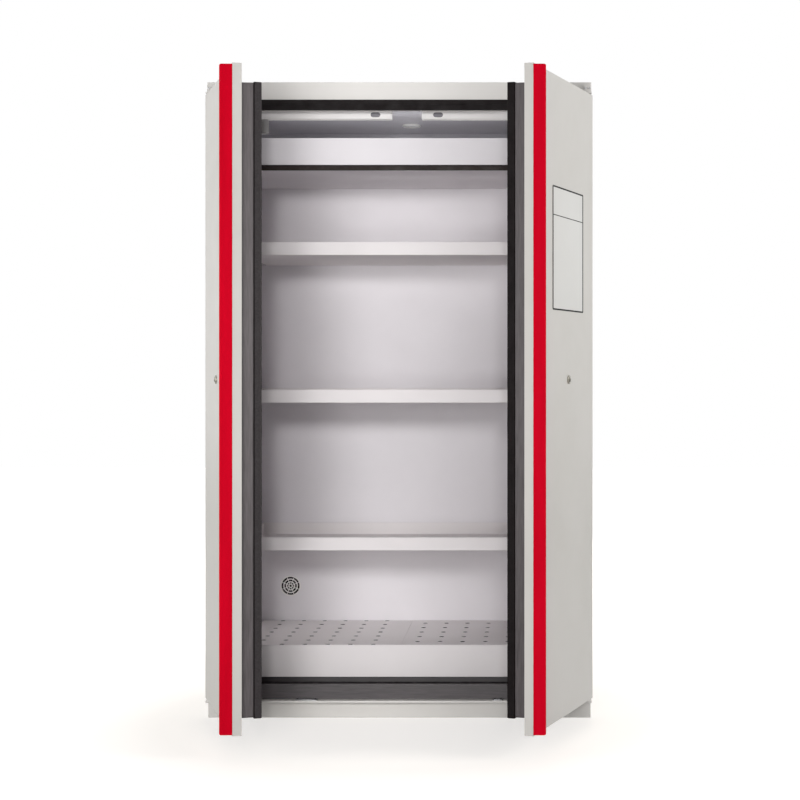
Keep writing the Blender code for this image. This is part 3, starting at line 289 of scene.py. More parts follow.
def finish_cad_nodes():
    """Give every CAD node the finish of its slot; a few have one of their own."""
    special = {"upper_ceiling": CEILING_COAT, "lower_frame": FRAME_LAMINATE,
               "rail_roller": ROLLER_PLASTIC, "vent_collar": COLLAR_PLASTIC,
               "top_rail": TOP_RAIL_SHADED_COAT, "sump_bearer": BEARER_LAMINATE,
               "left_door_seal": LEFT_SEAL_SHEEN_FILM, "right_door_plug": RIGHT_PLUG_SHADED_LAMINATE,
               "left_top_bracket": FINISHES["casing_paint"], "right_top_bracket": FINISHES["casing_paint"],
               "left_lock_rosette": LOCK_NICKEL, "right_lock_rosette": LOCK_NICKEL,
               "left_lock_core": LOCK_NICKEL, "right_lock_core": LOCK_NICKEL}
    for name, item in frame["nodes"].items():
        paint(item, special.get(name, FINISHES[SLOT_OF[name]]))


# Mesh helpers

def placed(name, data):
    """A new object at the origin that shows a mesh, lamp or camera."""
    item = bpy.data.objects.new(name, data)
    bpy.context.scene.collection.objects.link(item)
    return item


def mesh_piece(name, points, faces, material, smooth=True):
    """An object at the origin from an array of points and lists of faces."""
    mesh = bpy.data.meshes.new(name)
    mesh.from_pydata(np.asarray(points, float).reshape(-1, 3).tolist(), [], faces)
    shape = bmesh.new()
    shape.from_mesh(mesh)
    bmesh.ops.remove_doubles(shape, verts=shape.verts, dist=0.01 * MM)
    bmesh.ops.recalc_face_normals(shape, faces=shape.faces)
    shape.to_mesh(mesh)
    shape.free()
    item = placed(name, mesh)
    mesh.materials.append(material)
    if smooth:
        mesh.shade_smooth()
        mesh.set_sharp_from_angle(angle=math.radians(SHARP_DEGREES))
    return item


def belt_faces(rings, around):
    """Quads between neighbouring rings of a closed grid, plus a cap on each end."""
    step = np.arange(around)
    following = (step + 1) % around
    faces = []
    for ring in range(rings - 1):
        low, high = ring * around, (ring + 1) * around
        faces += np.stack([low + step, low + following, high + following, high + step], 1).tolist()
    faces.append(step[::-1].tolist())
    faces.append(((rings - 1) * around + step).tolist())
    return faces


def rounded_outline(width, height, radius, steps=5):
    """A rectangle with quarter-circle corners, as an array of (across, up) points."""
    radius = min(radius, width / 2, height / 2)
    turn = np.linspace(0, math.pi / 2, steps + 1)
    corner = np.stack([np.cos(turn), np.sin(turn)], 1) * radius
    quarter = np.array([[0.0, -1.0], [1.0, 0.0]])
    points = []
    for side, (sign_x, sign_y) in enumerate(((1, 1), (-1, 1), (-1, -1), (1, -1))):
        centre = np.array([sign_x * (width / 2 - radius), sign_y * (height / 2 - radius)])
        points.append(centre + corner @ np.linalg.matrix_power(quarter, side).T)
    return np.concatenate(points)


def slab(name, origin, across, up, out, size, thickness, material, radius=1 * MM, edge=0.5 * MM):
    """A plate with rounded corners and a rounded face edge.

    The outline is carried outwards: at angle t its inset is edge*(1-cos t) and its height is
    thickness-edge+edge*sin t, so the rim rolls over to the face.
    """
    turn = np.linspace(0, math.pi / 2, 4)
    insets = np.concatenate([[0.0], edge * (1 - np.cos(turn))])
    levels = np.concatenate([[0.0], thickness - edge + edge * np.sin(turn)])
    rings = []
    for inset, level in zip(insets, levels):
        outline = rounded_outline(size[0] - 2 * inset, size[1] - 2 * inset, max(radius - inset, 0.05 * MM))
        rings.append(np.array(origin) + outline[:, :1] * np.array(across)
                     + outline[:, 1:] * np.array(up) + level * np.array(out))
    return mesh_piece(name, np.concatenate(rings), belt_faces(len(rings), len(rings[0])), material)


def turned(name, origin, axis, profile, material, sides=32):
    """A solid of revolution: each (radius, along) point of the profile becomes a ring round the axis."""
    axis = Vector(axis).normalized()
    first = axis.orthogonal().normalized()
    second = axis.cross(first)
    turn = np.linspace(0, math.tau, sides, endpoint=False)
    circle = (np.cos(turn)[:, None] * np.array(first) + np.sin(turn)[:, None] * np.array(second))
    rings = [np.array(origin) + radius * circle + along * np.array(axis) for radius, along in profile]
    return mesh_piece(name, np.concatenate(rings), belt_faces(len(rings), sides), material)


def swept(name, outline, path, across, up, material):
    """A closed outline carried along a path of points, with fixed across and up directions."""
    outline = np.asarray(outline, float)
    section = outline[:, :1] * np.array(across) + outline[:, 1:] * np.array(up)
    points = np.asarray(path)[:, None, :] + section[None, :, :]
    return mesh_piece(name, points.reshape(-1, 3), belt_faces(len(path), len(outline)), material)


def joined(name, items):
    """One piece from several meshes."""
    shape = bmesh.new()
    materials = []
    for item in items:
        first = len(shape.faces)
        shape.from_mesh(item.data)
        shape.faces.ensure_lookup_table()
        material = item.data.materials[0]
        if material not in materials:
            materials.append(material)
        for face in shape.faces[first:]:
            face.material_index = materials.index(material)
    mesh = bpy.data.meshes.new(name)
    shape.to_mesh(mesh)
    shape.free()
    for material in materials:
        mesh.materials.append(material)
    for item in items:
        bpy.data.objects.remove(item)
    whole = placed(name, mesh)
    mesh.shade_smooth()
    mesh.set_sharp_from_angle(angle=math.radians(SHARP_DEGREES))
    return whole


# The frame of each door

class DoorFrame:
    """Directions of an open door: along runs from the axis to the free edge, out leaves its face."""

    def __init__(self, prefix):
        """The frame of the left or right door, in the pose of the photo."""
        side = -1 if prefix == "left" else 1
        joint = next(one for one in frame["joints"] if one["name"] == prefix + "_door_hinge")
        self.axis = np.array([joint["pos_m"][0], joint["pos_m"][1], 0.0])
        self.along = np.array([-side * math.cos(OPEN_ANGLE), -math.sin(OPEN_ANGLE), 0.0])
        self.out = np.array([side * math.sin(OPEN_ANGLE), -math.cos(OPEN_ANGLE), 0.0])
        self.body = prefix + "_door"

    def point(self, along, out, height):
        """A point at distances from the axis and a height above the floor."""
        return self.axis + along * self.along + out * self.out + np.array([0.0, 0.0, height])


UP = np.array([0.0, 0.0, 1.0])
RIGHT = np.array([1.0, 0.0, 0.0])
TO_FRONT = np.array([0.0, -1.0, 0.0])
DOOR_FACE = 13 * MM


# Softened edges: each copy stands for its CAD node

SOFT_EDGES = {
    "left_door_shell": 1.6 * MM, "right_door_shell": 1.6 * MM,
    "left_grip_strip": 1.2 * MM, "right_grip_strip": 1.2 * MM,
    "left_door_plug": 1.5 * MM, "right_door_plug": 1.5 * MM,
    "left_door_seal": 2.0 * MM, "right_door_seal": 2.0 * MM,
    "left_side_panel": 0.6 * MM, "right_side_panel": 0.6 * MM,
    "lower_shelf": 0.6 * MM, "middle_shelf": 0.6 * MM, "upper_shelf": 0.6 * MM,
    "sump_tray": 0.8 * MM, "plinth_frame": 1.5 * MM,
    "left_slide_rail": 0.8 * MM, "right_slide_rail": 0.8 * MM,
    "header_and_ceiling": 0.7 * MM, "lower_frame": 0.6 * MM,
    "left_top_bracket": 0.8 * MM, "right_top_bracket": 0.8 * MM,
}
FLAT_DEGREES = 0.5
BEVEL_DEGREES = 40.0
SOFT_SHARP_DEGREES = 35.0


def soften_edges():
    """Round the folded and cut edges of the sheet pieces, as bending and coating leave them."""
    for node, width in SOFT_EDGES.items():
        source = frame["nodes"][node]
        shape = bmesh.new()
        shape.from_mesh(source.data)
        bmesh.ops.remove_doubles(shape, verts=shape.verts, dist=0.02 * MM)
        bmesh.ops.dissolve_limit(shape, angle_limit=math.radians(FLAT_DEGREES), verts=shape.verts,
                                 edges=shape.edges)
        mesh = bpy.data.meshes.new(node + "_soft")
        shape.to_mesh(mesh)
        shape.free()
        mesh.materials.clear()
        mesh.materials.append(source.data.materials[0])
        item = placed(node + "_soft", mesh)
        bevel = item.modifiers.new("rolled_edge", "BEVEL")
        bevel.width = width
        bevel.segments = 2
        bevel.limit_method = "ANGLE"
        bevel.angle_limit = math.radians(BEVEL_DEGREES)
        bevel.use_clamp_overlap = True
        mesh.shade_smooth()
        mesh.set_sharp_from_angle(angle=math.radians(SOFT_SHARP_DEGREES))
        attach(item, source["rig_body"])
        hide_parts(node)


# Small pieces on the casing

CATCH_HEIGHT = 3 * MM
CATCH_DEPTH = 19 * MM
CATCHES = (("left_ledge_catch", -0.288, 69 * MM), ("right_ledge_catch", 0.308, 32 * MM))
CATCH_EDGE_GAP = 4 * MM
CATCH_LIFT = 0.1 * MM
CATCH_SCREW_RADIUS = 3.5 * MM
CATCH_SCREW_FROM_END = 6 * MM
LEDGE_BELOW_FRAME = 0.3 * MM


def build_ledge_catches():
    """Low zinc plates screwed on the ledge, over which the doors close."""
    ledge_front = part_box("threshold_ledge")[0].y
    ledge_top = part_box("lower_frame")[0].z - LEDGE_BELOW_FRAME
    for name, centre_x, length in CATCHES:
        middle_y = ledge_front + CATCH_EDGE_GAP + CATCH_DEPTH / 2
        origin = np.array([centre_x, middle_y, ledge_top + CATCH_LIFT])
        parts = [slab(name + "_plate", origin, RIGHT, -TO_FRONT, UP, (length, CATCH_DEPTH), CATCH_HEIGHT,
                      DULL_ZINC, radius=3 * MM, edge=1.2 * MM)]
        for side in (-1, 1):
            place = origin + side * (length / 2 - CATCH_SCREW_FROM_END) * RIGHT + CATCH_HEIGHT * UP
            parts.append(turned(name + "_screw", place, UP,
                                [(CATCH_SCREW_RADIUS, -0.1 * MM), (CATCH_SCREW_RADIUS, 0.6 * MM),
                                 (CATCH_SCREW_RADIUS * 0.7, 1.1 * MM)], KEYWAY_BLACK_AND_HOLE_SHADE, 18))
        plate = joined(name, parts)
        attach(plate, "casing")


SCREW_RADIUS = 4.0 * MM
SCREW_HEAD = 1.8 * MM
FLUSH_HEAD = 0.06 * MM
BRACKET_SCREW_SHIFT = 6.5 * MM
BRACKET_SCREW_DROP = 9 * MM
BRACKET_FACE_FROM_BACK = 4 * MM
SPIGOT_SCREW_COUNT = 4
SPIGOT_SCREW_RING = 37.5 * MM
SPIGOT_FLANGE_TOP = 2.3 * MM
BACK_SCREW_ROWS = 9
BACK_SCREW_FROM_SIDE = 12 * MM
BACK_SCREW_FROM_END = 30 * MM


def screw(name, origin, out, head=SCREW_HEAD):
    """A pan-head screw: a low dome with a round socket; a flush one has hardly any dome."""
    turn = np.linspace(0.0, 1.0, 5)
    dome = [(SCREW_RADIUS * math.cos(t * 0.9), head * math.sin(t * 1.4)) for t in turn]
    profile = [(SCREW_RADIUS, -0.05 * MM)] + dome + [(1.7 * MM, head), (1.5 * MM, head * 0.4)]
    return turned(name, origin, out, profile, FINISHES["plated_steel"], sides=18)


def screws_on(name, origins, out, body, head=SCREW_HEAD):
    """A row of equal screws as one piece."""
    heads = [screw(f"{name}_{index}", origin, out, head) for index, origin in enumerate(origins)]
    whole = joined(name, heads)
    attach(whole, body)


def build_casing_screws():
    """The screws of the top brackets, the exhaust spigot and the back panel."""
    for prefix in ("left", "right"):
        low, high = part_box(prefix + "_top_bracket")
        middle = (low.x + high.x) / 2
        face = high.y - BRACKET_FACE_FROM_BACK
        origins = [(middle + side * BRACKET_SCREW_SHIFT, face, high.z - BRACKET_SCREW_DROP)
                   for side in (-1, 1)]
        screws_on(prefix + "_bracket_screws", origins, TO_FRONT, "casing")
    low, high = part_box("exhaust_spigot")
    centre = ((low.x + high.x) / 2, (low.y + high.y) / 2)
    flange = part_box("top_panel")[1].z + SPIGOT_FLANGE_TOP
    turns = np.arange(SPIGOT_SCREW_COUNT) * math.pi / 2 + math.pi / 4
    origins = [(centre[0] + SPIGOT_SCREW_RING * math.cos(turn),
                centre[1] + SPIGOT_SCREW_RING * math.sin(turn), flange) for turn in turns]
    screws_on("spigot_screws", origins, UP, "casing")
    low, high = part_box("back_panel")
    rows = np.linspace(low.z + BACK_SCREW_FROM_END, high.z - BACK_SCREW_FROM_END, BACK_SCREW_ROWS)
    sides = (low.x + BACK_SCREW_FROM_SIDE, high.x - BACK_SCREW_FROM_SIDE)
    origins = [(x, high.y, z) for x in sides for z in rows]
    screws_on("back_panel_screws", origins, -TO_FRONT, "casing", FLUSH_HEAD)


SEAL_WAVE = 0.1 * MM
SEAL_HEIGHT_CUT = 0.3 * MM
SEAL_STEPS = 90


def build_header_seal():
    """The strip over the header's fold: it follows the fold with a slight wave."""
    low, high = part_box("header_seal")
    x = np.linspace(low.x, high.x, SEAL_STEPS)
    wave = SEAL_WAVE * (np.sin(x * 9.0 + 0.4) + 0.5 * np.sin(x * 23.0 + 1.9))
    path = np.stack([x, np.full_like(x, low.y), (low.z + high.z) / 2 + wave], 1)
    outline = rounded_outline(high.y - low.y, high.z - low.z - SEAL_HEIGHT_CUT, 1.2 * MM, 3)
    outline[:, 0] += (high.y - low.y) / 2
    strip = swept("header_seal_strip", outline, path, -TO_FRONT, UP, STRIP_FILM)
    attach(strip, "casing")
    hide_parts("header_seal")


COVER_THICKNESS = 1.0 * MM
COVER_CLEARANCE = 0.4 * MM
COVER_LIFT = 3 * MM
RAIL_WINDOW_FROM_END = 51.5 * MM
SLIDE_BLOCK = (46 * MM, 19 * MM)
SLIDE_BLOCK_INSET = 4.5 * MM
SLIDE_BLOCK_DEPTH = 14 * MM
SLIDE_BLOCK_DROP = 1.5 * MM


def build_closer_space():
    """The grey sheet behind the header and the dark slide blocks inside the rails."""
    low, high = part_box("header_and_ceiling")
    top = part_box("upper_ceiling")[0].z - COVER_CLEARANCE
    bottom = low.z + COVER_LIFT
    origin = ((low.x + high.x) / 2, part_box("back_liner")[0].y, (top + bottom) / 2)
    size = (high.x - low.x - 2 * COVER_CLEARANCE, top - bottom)
    cover = slab("upper_back_sheet", origin, RIGHT, UP, TO_FRONT, size, COVER_THICKNESS, UPPER_BACK_COAT,
                 radius=1 * MM, edge=0.3 * MM)
    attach(cover, "casing")
    for prefix, side in (("left", -1), ("right", 1)):
        low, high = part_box(prefix + "_slide_rail")
        inner_end = high.x if side < 0 else low.x
        place = (inner_end + side * RAIL_WINDOW_FROM_END, low.y + SLIDE_BLOCK_INSET,
                 (low.z + high.z) / 2 - SLIDE_BLOCK_DROP)
        block = slab(prefix + "_slide_block", place, RIGHT, UP, -TO_FRONT, SLIDE_BLOCK,
                     SLIDE_BLOCK_DEPTH, SLIDE_PLASTIC, radius=2 * MM)
        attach(block, "casing")


SILL_THICKNESS = 1.2 * MM
SILL_BACK_GAP = 0.3 * MM
SILL_FRONT_GAP = 0.2 * MM
SILL_SIDE_PLAY = 1 * MM


def build_sill_strip():
    """The black strip on the compartment's floor, between the lower frame and the sump's bearer."""
    low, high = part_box("floor_liner")
    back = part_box("sump_bearer")[0].y - SILL_BACK_GAP
    front = low.y + SILL_FRONT_GAP
    size = (high.x - low.x - SILL_SIDE_PLAY, back - front)
    origin = ((low.x + high.x) / 2, (front + back) / 2, high.z)
    strip = slab("sill_strip", origin, RIGHT, -TO_FRONT, UP, size, SILL_THICKNESS,
                 FINISHES["seal_black"], radius=1 * MM, edge=0.4 * MM)
    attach(strip, "casing")


GRILLE_RINGS = ((0.87, 1.0), (0.60, 0.70), (0.34, 0.44), (0.12, 0.20))
GRILLE_SPOKES = 8
GRILLE_GROWTH = 1.2
GRILLE_RIB = 1.8 * MM
GRILLE_SIDES = 40
GRILLE_EDGE = 0.4 * MM
SPOKE_PLAY = 0.6 * MM
SHADE_SHARE = 0.95


def build_duct_grille():
    """A round grille of rings and spokes before the air duct: wide dark slots between thin ribs, darkened
    by a disc of painted shade behind them.
    """
    low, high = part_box("wall_grille")
    radius = (high.x - low.x) / 2 * GRILLE_GROWTH
    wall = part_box("back_liner")[0].y
    centre = np.array([(low.x + high.x) / 2, wall, (low.z + high.z) / 2])
    depth = wall - low.y
    paint_here = FINISHES["rail_white"]
    parts = []
    for inner, outer in GRILLE_RINGS:
        turn = np.linspace(0, math.tau, GRILLE_SIDES + 1)[:-1]
        circle = np.cos(turn)[:, None] * RIGHT + np.sin(turn)[:, None] * UP
        shoulder, slope = depth - GRILLE_EDGE, GRILLE_EDGE / radius
        section = ((outer, 0.0), (outer, shoulder), (outer - slope, depth),
                   (inner + slope, depth), (inner, shoulder), (inner, 0.0))
        rings = [centre + share * radius * circle + level * TO_FRONT for share, level in section]
        count, around = len(rings), len(turn)
        grid = np.arange(count * around).reshape(count, around)
        following = np.roll(grid, -1, axis=1)
        beyond = np.roll(grid, -1, axis=0)
        faces = np.stack([grid, following, np.roll(beyond, -1, axis=1), beyond], 2).reshape(-1, 4)
        parts.append(mesh_piece("grille_ring", np.concatenate(rings), faces.tolist(), paint_here))
    first, last = GRILLE_RINGS[-1][0] * radius, GRILLE_RINGS[0][0] * radius
    for spoke in range(GRILLE_SPOKES):
        angle = math.tau * (spoke + 0.5) / GRILLE_SPOKES
        along = math.cos(angle) * RIGHT + math.sin(angle) * UP
        across = math.cos(angle) * UP - math.sin(angle) * RIGHT
        middle = centre + along * (first + last) / 2
        parts.append(slab("grille_spoke", middle, along, across, TO_FRONT,
                          (last - first + SPOKE_PLAY, GRILLE_RIB), depth - SPOKE_PLAY, paint_here,
                          radius=0.3 * MM, edge=0.3 * MM))
    # A dark disc behind the ribs: painted shade in the slots.
    parts.append(turned("grille_shade", centre, TO_FRONT,
                        [(SHADE_SHARE * radius, -0.2 * MM), (SHADE_SHARE * radius, 0.4 * MM)],
                        DUCT_SHADE, GRILLE_SIDES))
    grille = joined("duct_grille", parts)
    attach(grille, "casing")
    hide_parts("wall_grille")


GAUZE_RADIUS = 22 * MM
GAUZE_THICKNESS = 1.0 * MM
GAUZE_BEHIND_GRILLE = 1.0 * MM
GAUZE_BEFORE_PANEL = 2 * MM


def build_duct_gauze():
    """Dark gauze discs close the air duct behind the grille and at the back panel."""
    low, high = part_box("wall_grille")
    centre_x, centre_z = (low.x + high.x) / 2, (low.z + high.z) / 2
    for name, depth in (("duct_gauze_front", high.y + GAUZE_BEHIND_GRILLE),
                        ("duct_gauze_back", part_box("back_panel")[0].y - GAUZE_BEFORE_PANEL)):
        disc = turned(name, (centre_x, depth, centre_z), -TO_FRONT,
                      [(GAUZE_RADIUS, 0.0), (GAUZE_RADIUS, GAUZE_THICKNESS)], KEYWAY_BLACK_AND_HOLE_SHADE, GRILLE_SIDES)
        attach(disc, "casing")


HOLE_GROWTH = 1.35
HOLE_SIDES = 8
INSERT_BORDER = 3 * MM


def open_out_hole(walls):
    """Take one hole's wall faces out of the set and move its rim away from its centre.

    Faces and rim are taken by index, because the order of a set changes from run to run.
    """
    first = min(walls, key=lambda face: face.index)
    walls.remove(first)
    waiting = [first]
    rim = set(first.verts)
    while waiting:
        for corner in waiting.pop().verts:
            for face in corner.link_faces:
                if face in walls:
                    walls.remove(face)
                    waiting.append(face)
                    rim.update(face.verts)
    rim = sorted(rim, key=lambda corner: corner.index)
    points = np.array([corner.co[:] for corner in rim])
    centre = (points.min(0) + points.max(0)) / 2
    for corner in rim:
        for axis in (0, 1):
            corner.co[axis] = centre[axis] + (corner.co[axis] - centre[axis]) * HOLE_GROWTH
    radius = np.linalg.norm(points[0, :2] - centre[:2]) * HOLE_GROWTH
    return centre[0], centre[1], points[:, 2].max(), radius


HOLE_SHADE_DROP = 3.4 * MM
HOLE_SHADE_WALL = 0.4 * MM
HOLE_SHADE_TOP = -0.05 * MM


def hole_shade_tube(centre_x, centre_y, top, radius):
    """A short dark tube under a punched hole, shaped like a drawn neck: painted shade, which makes the hole
    look dark.
    """
    turn = (np.arange(HOLE_SIDES) + 0.5) * math.tau / HOLE_SIDES
    circle = np.stack([np.cos(turn), np.sin(turn), np.zeros(HOLE_SIDES)], 1)
    section = ((radius, HOLE_SHADE_TOP), (radius, -HOLE_SHADE_DROP), (radius - HOLE_SHADE_WALL, -HOLE_SHADE_DROP),
               (radius - HOLE_SHADE_WALL, HOLE_SHADE_TOP))
    rings = [np.array([centre_x, centre_y, top + level]) + reach * circle for reach, level in section]
    grid = np.arange(len(section) * HOLE_SIDES).reshape(len(section), HOLE_SIDES)
    following = np.roll(grid, -1, axis=1)
    faces = np.stack([grid, following, np.roll(following, -1, axis=0), np.roll(grid, -1, axis=0)], 2)
    return mesh_piece("hole_shade_tube", np.concatenate(rings), faces.reshape(-1, 4).tolist(), KEYWAY_BLACK_AND_HOLE_SHADE)


def build_perforated_inserts():
    """The inserts with their holes opened out; the dark hole walls and the dark tube under each hole are
    painted shade.
    """
    for node in ("left_insert", "right_insert"):
        source = frame["nodes"][node]
        shape = bmesh.new()
        shape.from_mesh(source.data)
        bmesh.ops.remove_doubles(shape, verts=shape.verts, dist=0.01 * MM)
        shape.verts.index_update()
        shape.faces.index_update()
        low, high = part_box(node)
        walls = set()
        for face in shape.faces:
            centre = face.calc_center_median()
            inside = (low.x + INSERT_BORDER < centre.x < high.x - INSERT_BORDER
                      and low.y + INSERT_BORDER < centre.y < high.y - INSERT_BORDER)
            # Hole walls get the black as painted shade, standing in for the dark seen through each hole.
            punched = inside and abs(face.normal.z) < 0.5
            face.material_index = 1 if punched else 0
            if punched:
                walls.add(face)
        holes = []
        while walls:
            holes.append(open_out_hole(walls))
        mesh = bpy.data.meshes.new(node + "_punched")
        shape.to_mesh(mesh)
        shape.free()
        mesh.materials.clear()
        mesh.materials.append(INSERT_LIGHTENED_COAT)
        mesh.materials.append(KEYWAY_BLACK_AND_HOLE_SHADE)
        item = placed(node + "_punched", mesh)
        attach(item, source["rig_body"])
        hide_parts(node)
        shade_tubes = [hole_shade_tube(*hole) for hole in holes]
        whole = joined(node + "_hole_shade_tubes", shade_tubes)
        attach(whole, source["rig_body"])


# Small pieces on the doors

SIGN_WIDTH = 0.311
SIGN_HEIGHT = 0.360
SIGN_FROM_AXIS = 0.2525
SIGN_BOTTOM = 1.261
SIGN_THICKNESS = 0.8 * MM
INK_THICKNESS = 0.15 * MM
BORDER = 4.5 * MM
SIDE_BORDER = 8.0 * MM
BORDER_INSET = 2 * MM
DIVIDER = 2.5 * MM
DIVIDER_DROP_SHARE = 0.235


def build_sign():
    """A white plate with a printed border and a dividing line, without words or warning pictures."""
    door = DoorFrame("right")
    middle = SIGN_BOTTOM + SIGN_HEIGHT / 2
    plate = slab("door_sign_plate", door.point(SIGN_FROM_AXIS, DOOR_FACE, middle), door.along, UP,
                 door.out, (SIGN_WIDTH, SIGN_HEIGHT), SIGN_THICKNESS, PLATE_WHITE, radius=3 * MM,
                 edge=0.3 * MM)
    level = DOOR_FACE + SIGN_THICKNESS
    inset = BORDER_INSET
    bars = []
    for index, (shift_u, shift_z, width, height) in enumerate((
            (0.0, SIGN_HEIGHT / 2 - inset, SIGN_WIDTH - 2 * inset, BORDER),
            (0.0, -SIGN_HEIGHT / 2 + inset, SIGN_WIDTH - 2 * inset, BORDER),
            (SIGN_WIDTH / 2 - 2 * inset, 0.0, SIDE_BORDER, SIGN_HEIGHT - 2 * inset),
            (-SIGN_WIDTH / 2 + 2 * inset, 0.0, SIDE_BORDER, SIGN_HEIGHT - 2 * inset),
            (0.0, SIGN_HEIGHT * (0.5 - DIVIDER_DROP_SHARE), SIGN_WIDTH - 4 * inset, DIVIDER))):
        origin = door.point(SIGN_FROM_AXIS + shift_u, level, middle + shift_z)
        bars.append(slab(f"bar_{index}", origin, door.along, UP, door.out, (width, height),
                         INK_THICKNESS, PLATE_INK, radius=0.3 * MM, edge=0.05 * MM))
    border = joined("door_sign_border", bars)
    for piece in (plate, border):
        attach(piece, door.body)


SHADOW_LINE_WIDTH = 3.0 * MM
SHADOW_LINE_THICKNESS = 0.3 * MM
SHADOW_LINE_SINK = 0.1 * MM
SHADOW_LINE_END_PLAY = 2 * MM


def build_seal_shadow_line():
    """A fine black line along the free edge where the left door's seal meets its plug: painted shadow of
    the gap between them.
    """
    door = DoorFrame("left")
    mesh = frame["nodes"]["left_door_seal"].data
    points = np.empty(len(mesh.vertices) * 3)
    mesh.vertices.foreach_get("co", points)
    points = points.reshape(-1, 3)
    along = (points - door.axis) @ door.along
    outward = (points - door.axis) @ door.out
    low_z, high_z = points[:, 2].min(), points[:, 2].max()
    origin = door.point(along.max() - SHADOW_LINE_SINK, outward.max() - SHADOW_LINE_WIDTH / 2, (low_z + high_z) / 2)
    size = (SHADOW_LINE_WIDTH, high_z - low_z - SHADOW_LINE_END_PLAY)
    shadow_line = slab("left_seal_shadow_line", origin, door.out, UP, door.along, size, SHADOW_LINE_THICKNESS,
                FINISHES["seal_black"], radius=0.5 * MM, edge=0.1 * MM)
    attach(shadow_line, door.body)


LOCK_FACE_OUT = 5.8 * MM
LOCK_FACE_PROFILE = ((6.6 * MM, 0.0), (6.6 * MM, 0.3 * MM), (6.2 * MM, 0.5 * MM))
KEY_SLOT = (2.2 * MM, 9 * MM)
KEY_SLOT_THICKNESS = 0.15 * MM


def build_lock_faces():
    """The dark keyway plate on each lock core."""
    for prefix in ("left", "right"):
        door = DoorFrame(prefix)
        joint = next(one for one in frame["joints"] if one["name"] == prefix + "_lock_turn")
        origin = np.array(joint["pos_m"]) + door.out * (DOOR_FACE + LOCK_FACE_OUT)
        face = turned(prefix + "_lock_face", origin, door.out, LOCK_FACE_PROFILE, LOCK_NICKEL, 28)
        on_face = origin + door.out * LOCK_FACE_PROFILE[-1][1]
        slot = slab(prefix + "_key_slot", on_face, door.along, UP, door.out, KEY_SLOT,
                    KEY_SLOT_THICKNESS, KEYWAY_BLACK_AND_HOLE_SHADE, radius=0.8 * MM, edge=0.05 * MM)
        piece = joined(prefix + "_keyhole", [face, slot])
        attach(piece, prefix + "_lock")


# Stage, light and camera

FLOOR_HALF = 14.0
GLOW_NEAR = 0.75
GLOW_FAR = 1.6
GLOW_UNDER_OBJECT = 0.59
WORLD_LIGHT = 0.27


def build_stage():
    """A pale floor and world that show white to the camera and keep the object's soft shadow."""
    half = FLOOR_HALF
    floor = mesh_piece("studio_floor", [(-half, -half, 0), (half, -half, 0), (half, half, 0),
                                        (-half, half, 0)], [[0, 1, 2, 3]], PLATE_WHITE, smooth=False)
    material = bpy.data.materials.new("matt_studio_floor")
    material.use_nodes = True
    tree = material.node_tree
    tree.nodes.clear()
    rays = add_node(tree, "ShaderNodeLightPath")
    tone = colour_between(tree, rays.outputs["Is Camera Ray"], ("E4E4E4", "CCC6BE"))
    diffuse = add_node(tree, "ShaderNodeBsdfDiffuse", Color=tone)
    place = add_node(tree, "ShaderNodeTexCoord")
    reach = add_node(tree, "ShaderNodeVectorMath", {"operation": "LENGTH"}, _0=place.outputs["Object"])
    level = add_node(tree, "ShaderNodeMapRange", Value=reach.outputs["Value"],
                     From_Min=GLOW_NEAR, From_Max=GLOW_FAR, To_Min=GLOW_UNDER_OBJECT, To_Max=1.0)
    glow = add_node(tree, "ShaderNodeEmission", Color=srgb("FFFFFF"),
                    Strength=add_node(tree, "ShaderNodeMath", {"operation": "MULTIPLY"},
                                      _0=rays.outputs["Is Camera Ray"],
                                      _1=level.outputs["Result"]).outputs["Value"])
    both = add_node(tree, "ShaderNodeAddShader", _0=diffuse.outputs["BSDF"], _1=glow.outputs["Emission"])
    add_node(tree, "ShaderNodeOutputMaterial", Surface=both.outputs["Shader"])
    paint(floor, material)

    world = bpy.data.worlds.new("pale_studio")
    bpy.context.scene.world = world
    world.use_nodes = True
    tree = world.node_tree
    tree.nodes.clear()
    rays = add_node(tree, "ShaderNodeLightPath")
    seen = add_node(tree, "ShaderNodeMath", {"operation": "MAXIMUM"}, _0=rays.outputs["Is Camera Ray"],
                    _1=rays.outputs["Is Glossy Ray"])
    seen = add_node(tree, "ShaderNodeMath", {"operation": "MAXIMUM"}, _0=seen.outputs["Value"],
                    _1=rays.outputs["Is Transmission Ray"])
    strength = add_node(tree, "ShaderNodeMapRange", Value=seen.outputs["Value"], To_Min=WORLD_LIGHT,
                        To_Max=1.0)
    background = add_node(tree, "ShaderNodeBackground", Color=srgb("FFFFFF"),
                          Strength=strength.outputs["Result"])
    add_node(tree, "ShaderNodeOutputWorld", Surface=background.outputs["Background"])


def aimed(name, light, place, target):
    """A lamp at a place that points at a target."""
    item = placed(name, light)
    item.location = place
    item.rotation_euler = (Vector(target) - Vector(place)).to_track_quat("-Z", "Y").to_euler()
    return item


def add_softbox(name, place, target, size, watts):
    """A rectangular lamp of a size in metres."""
    light = bpy.data.lights.new(name, "AREA")
    light.shape = "RECTANGLE"
    light.size, light.size_y = size
    light.energy = watts
    return aimed(name, light, place, target)


def add_beam(name, place, target, half_angle, blend, squeeze, radius, watts):
    """A spot lamp whose round beam is squeezed across and in height."""
    light = bpy.data.lights.new(name, "SPOT")
    light.spot_size = 2 * math.radians(half_angle)
    light.spot_blend = blend
    light.shadow_soft_size = radius
    light.energy = watts
    aimed(name, light, place, target).scale = (*squeeze, 1.0)


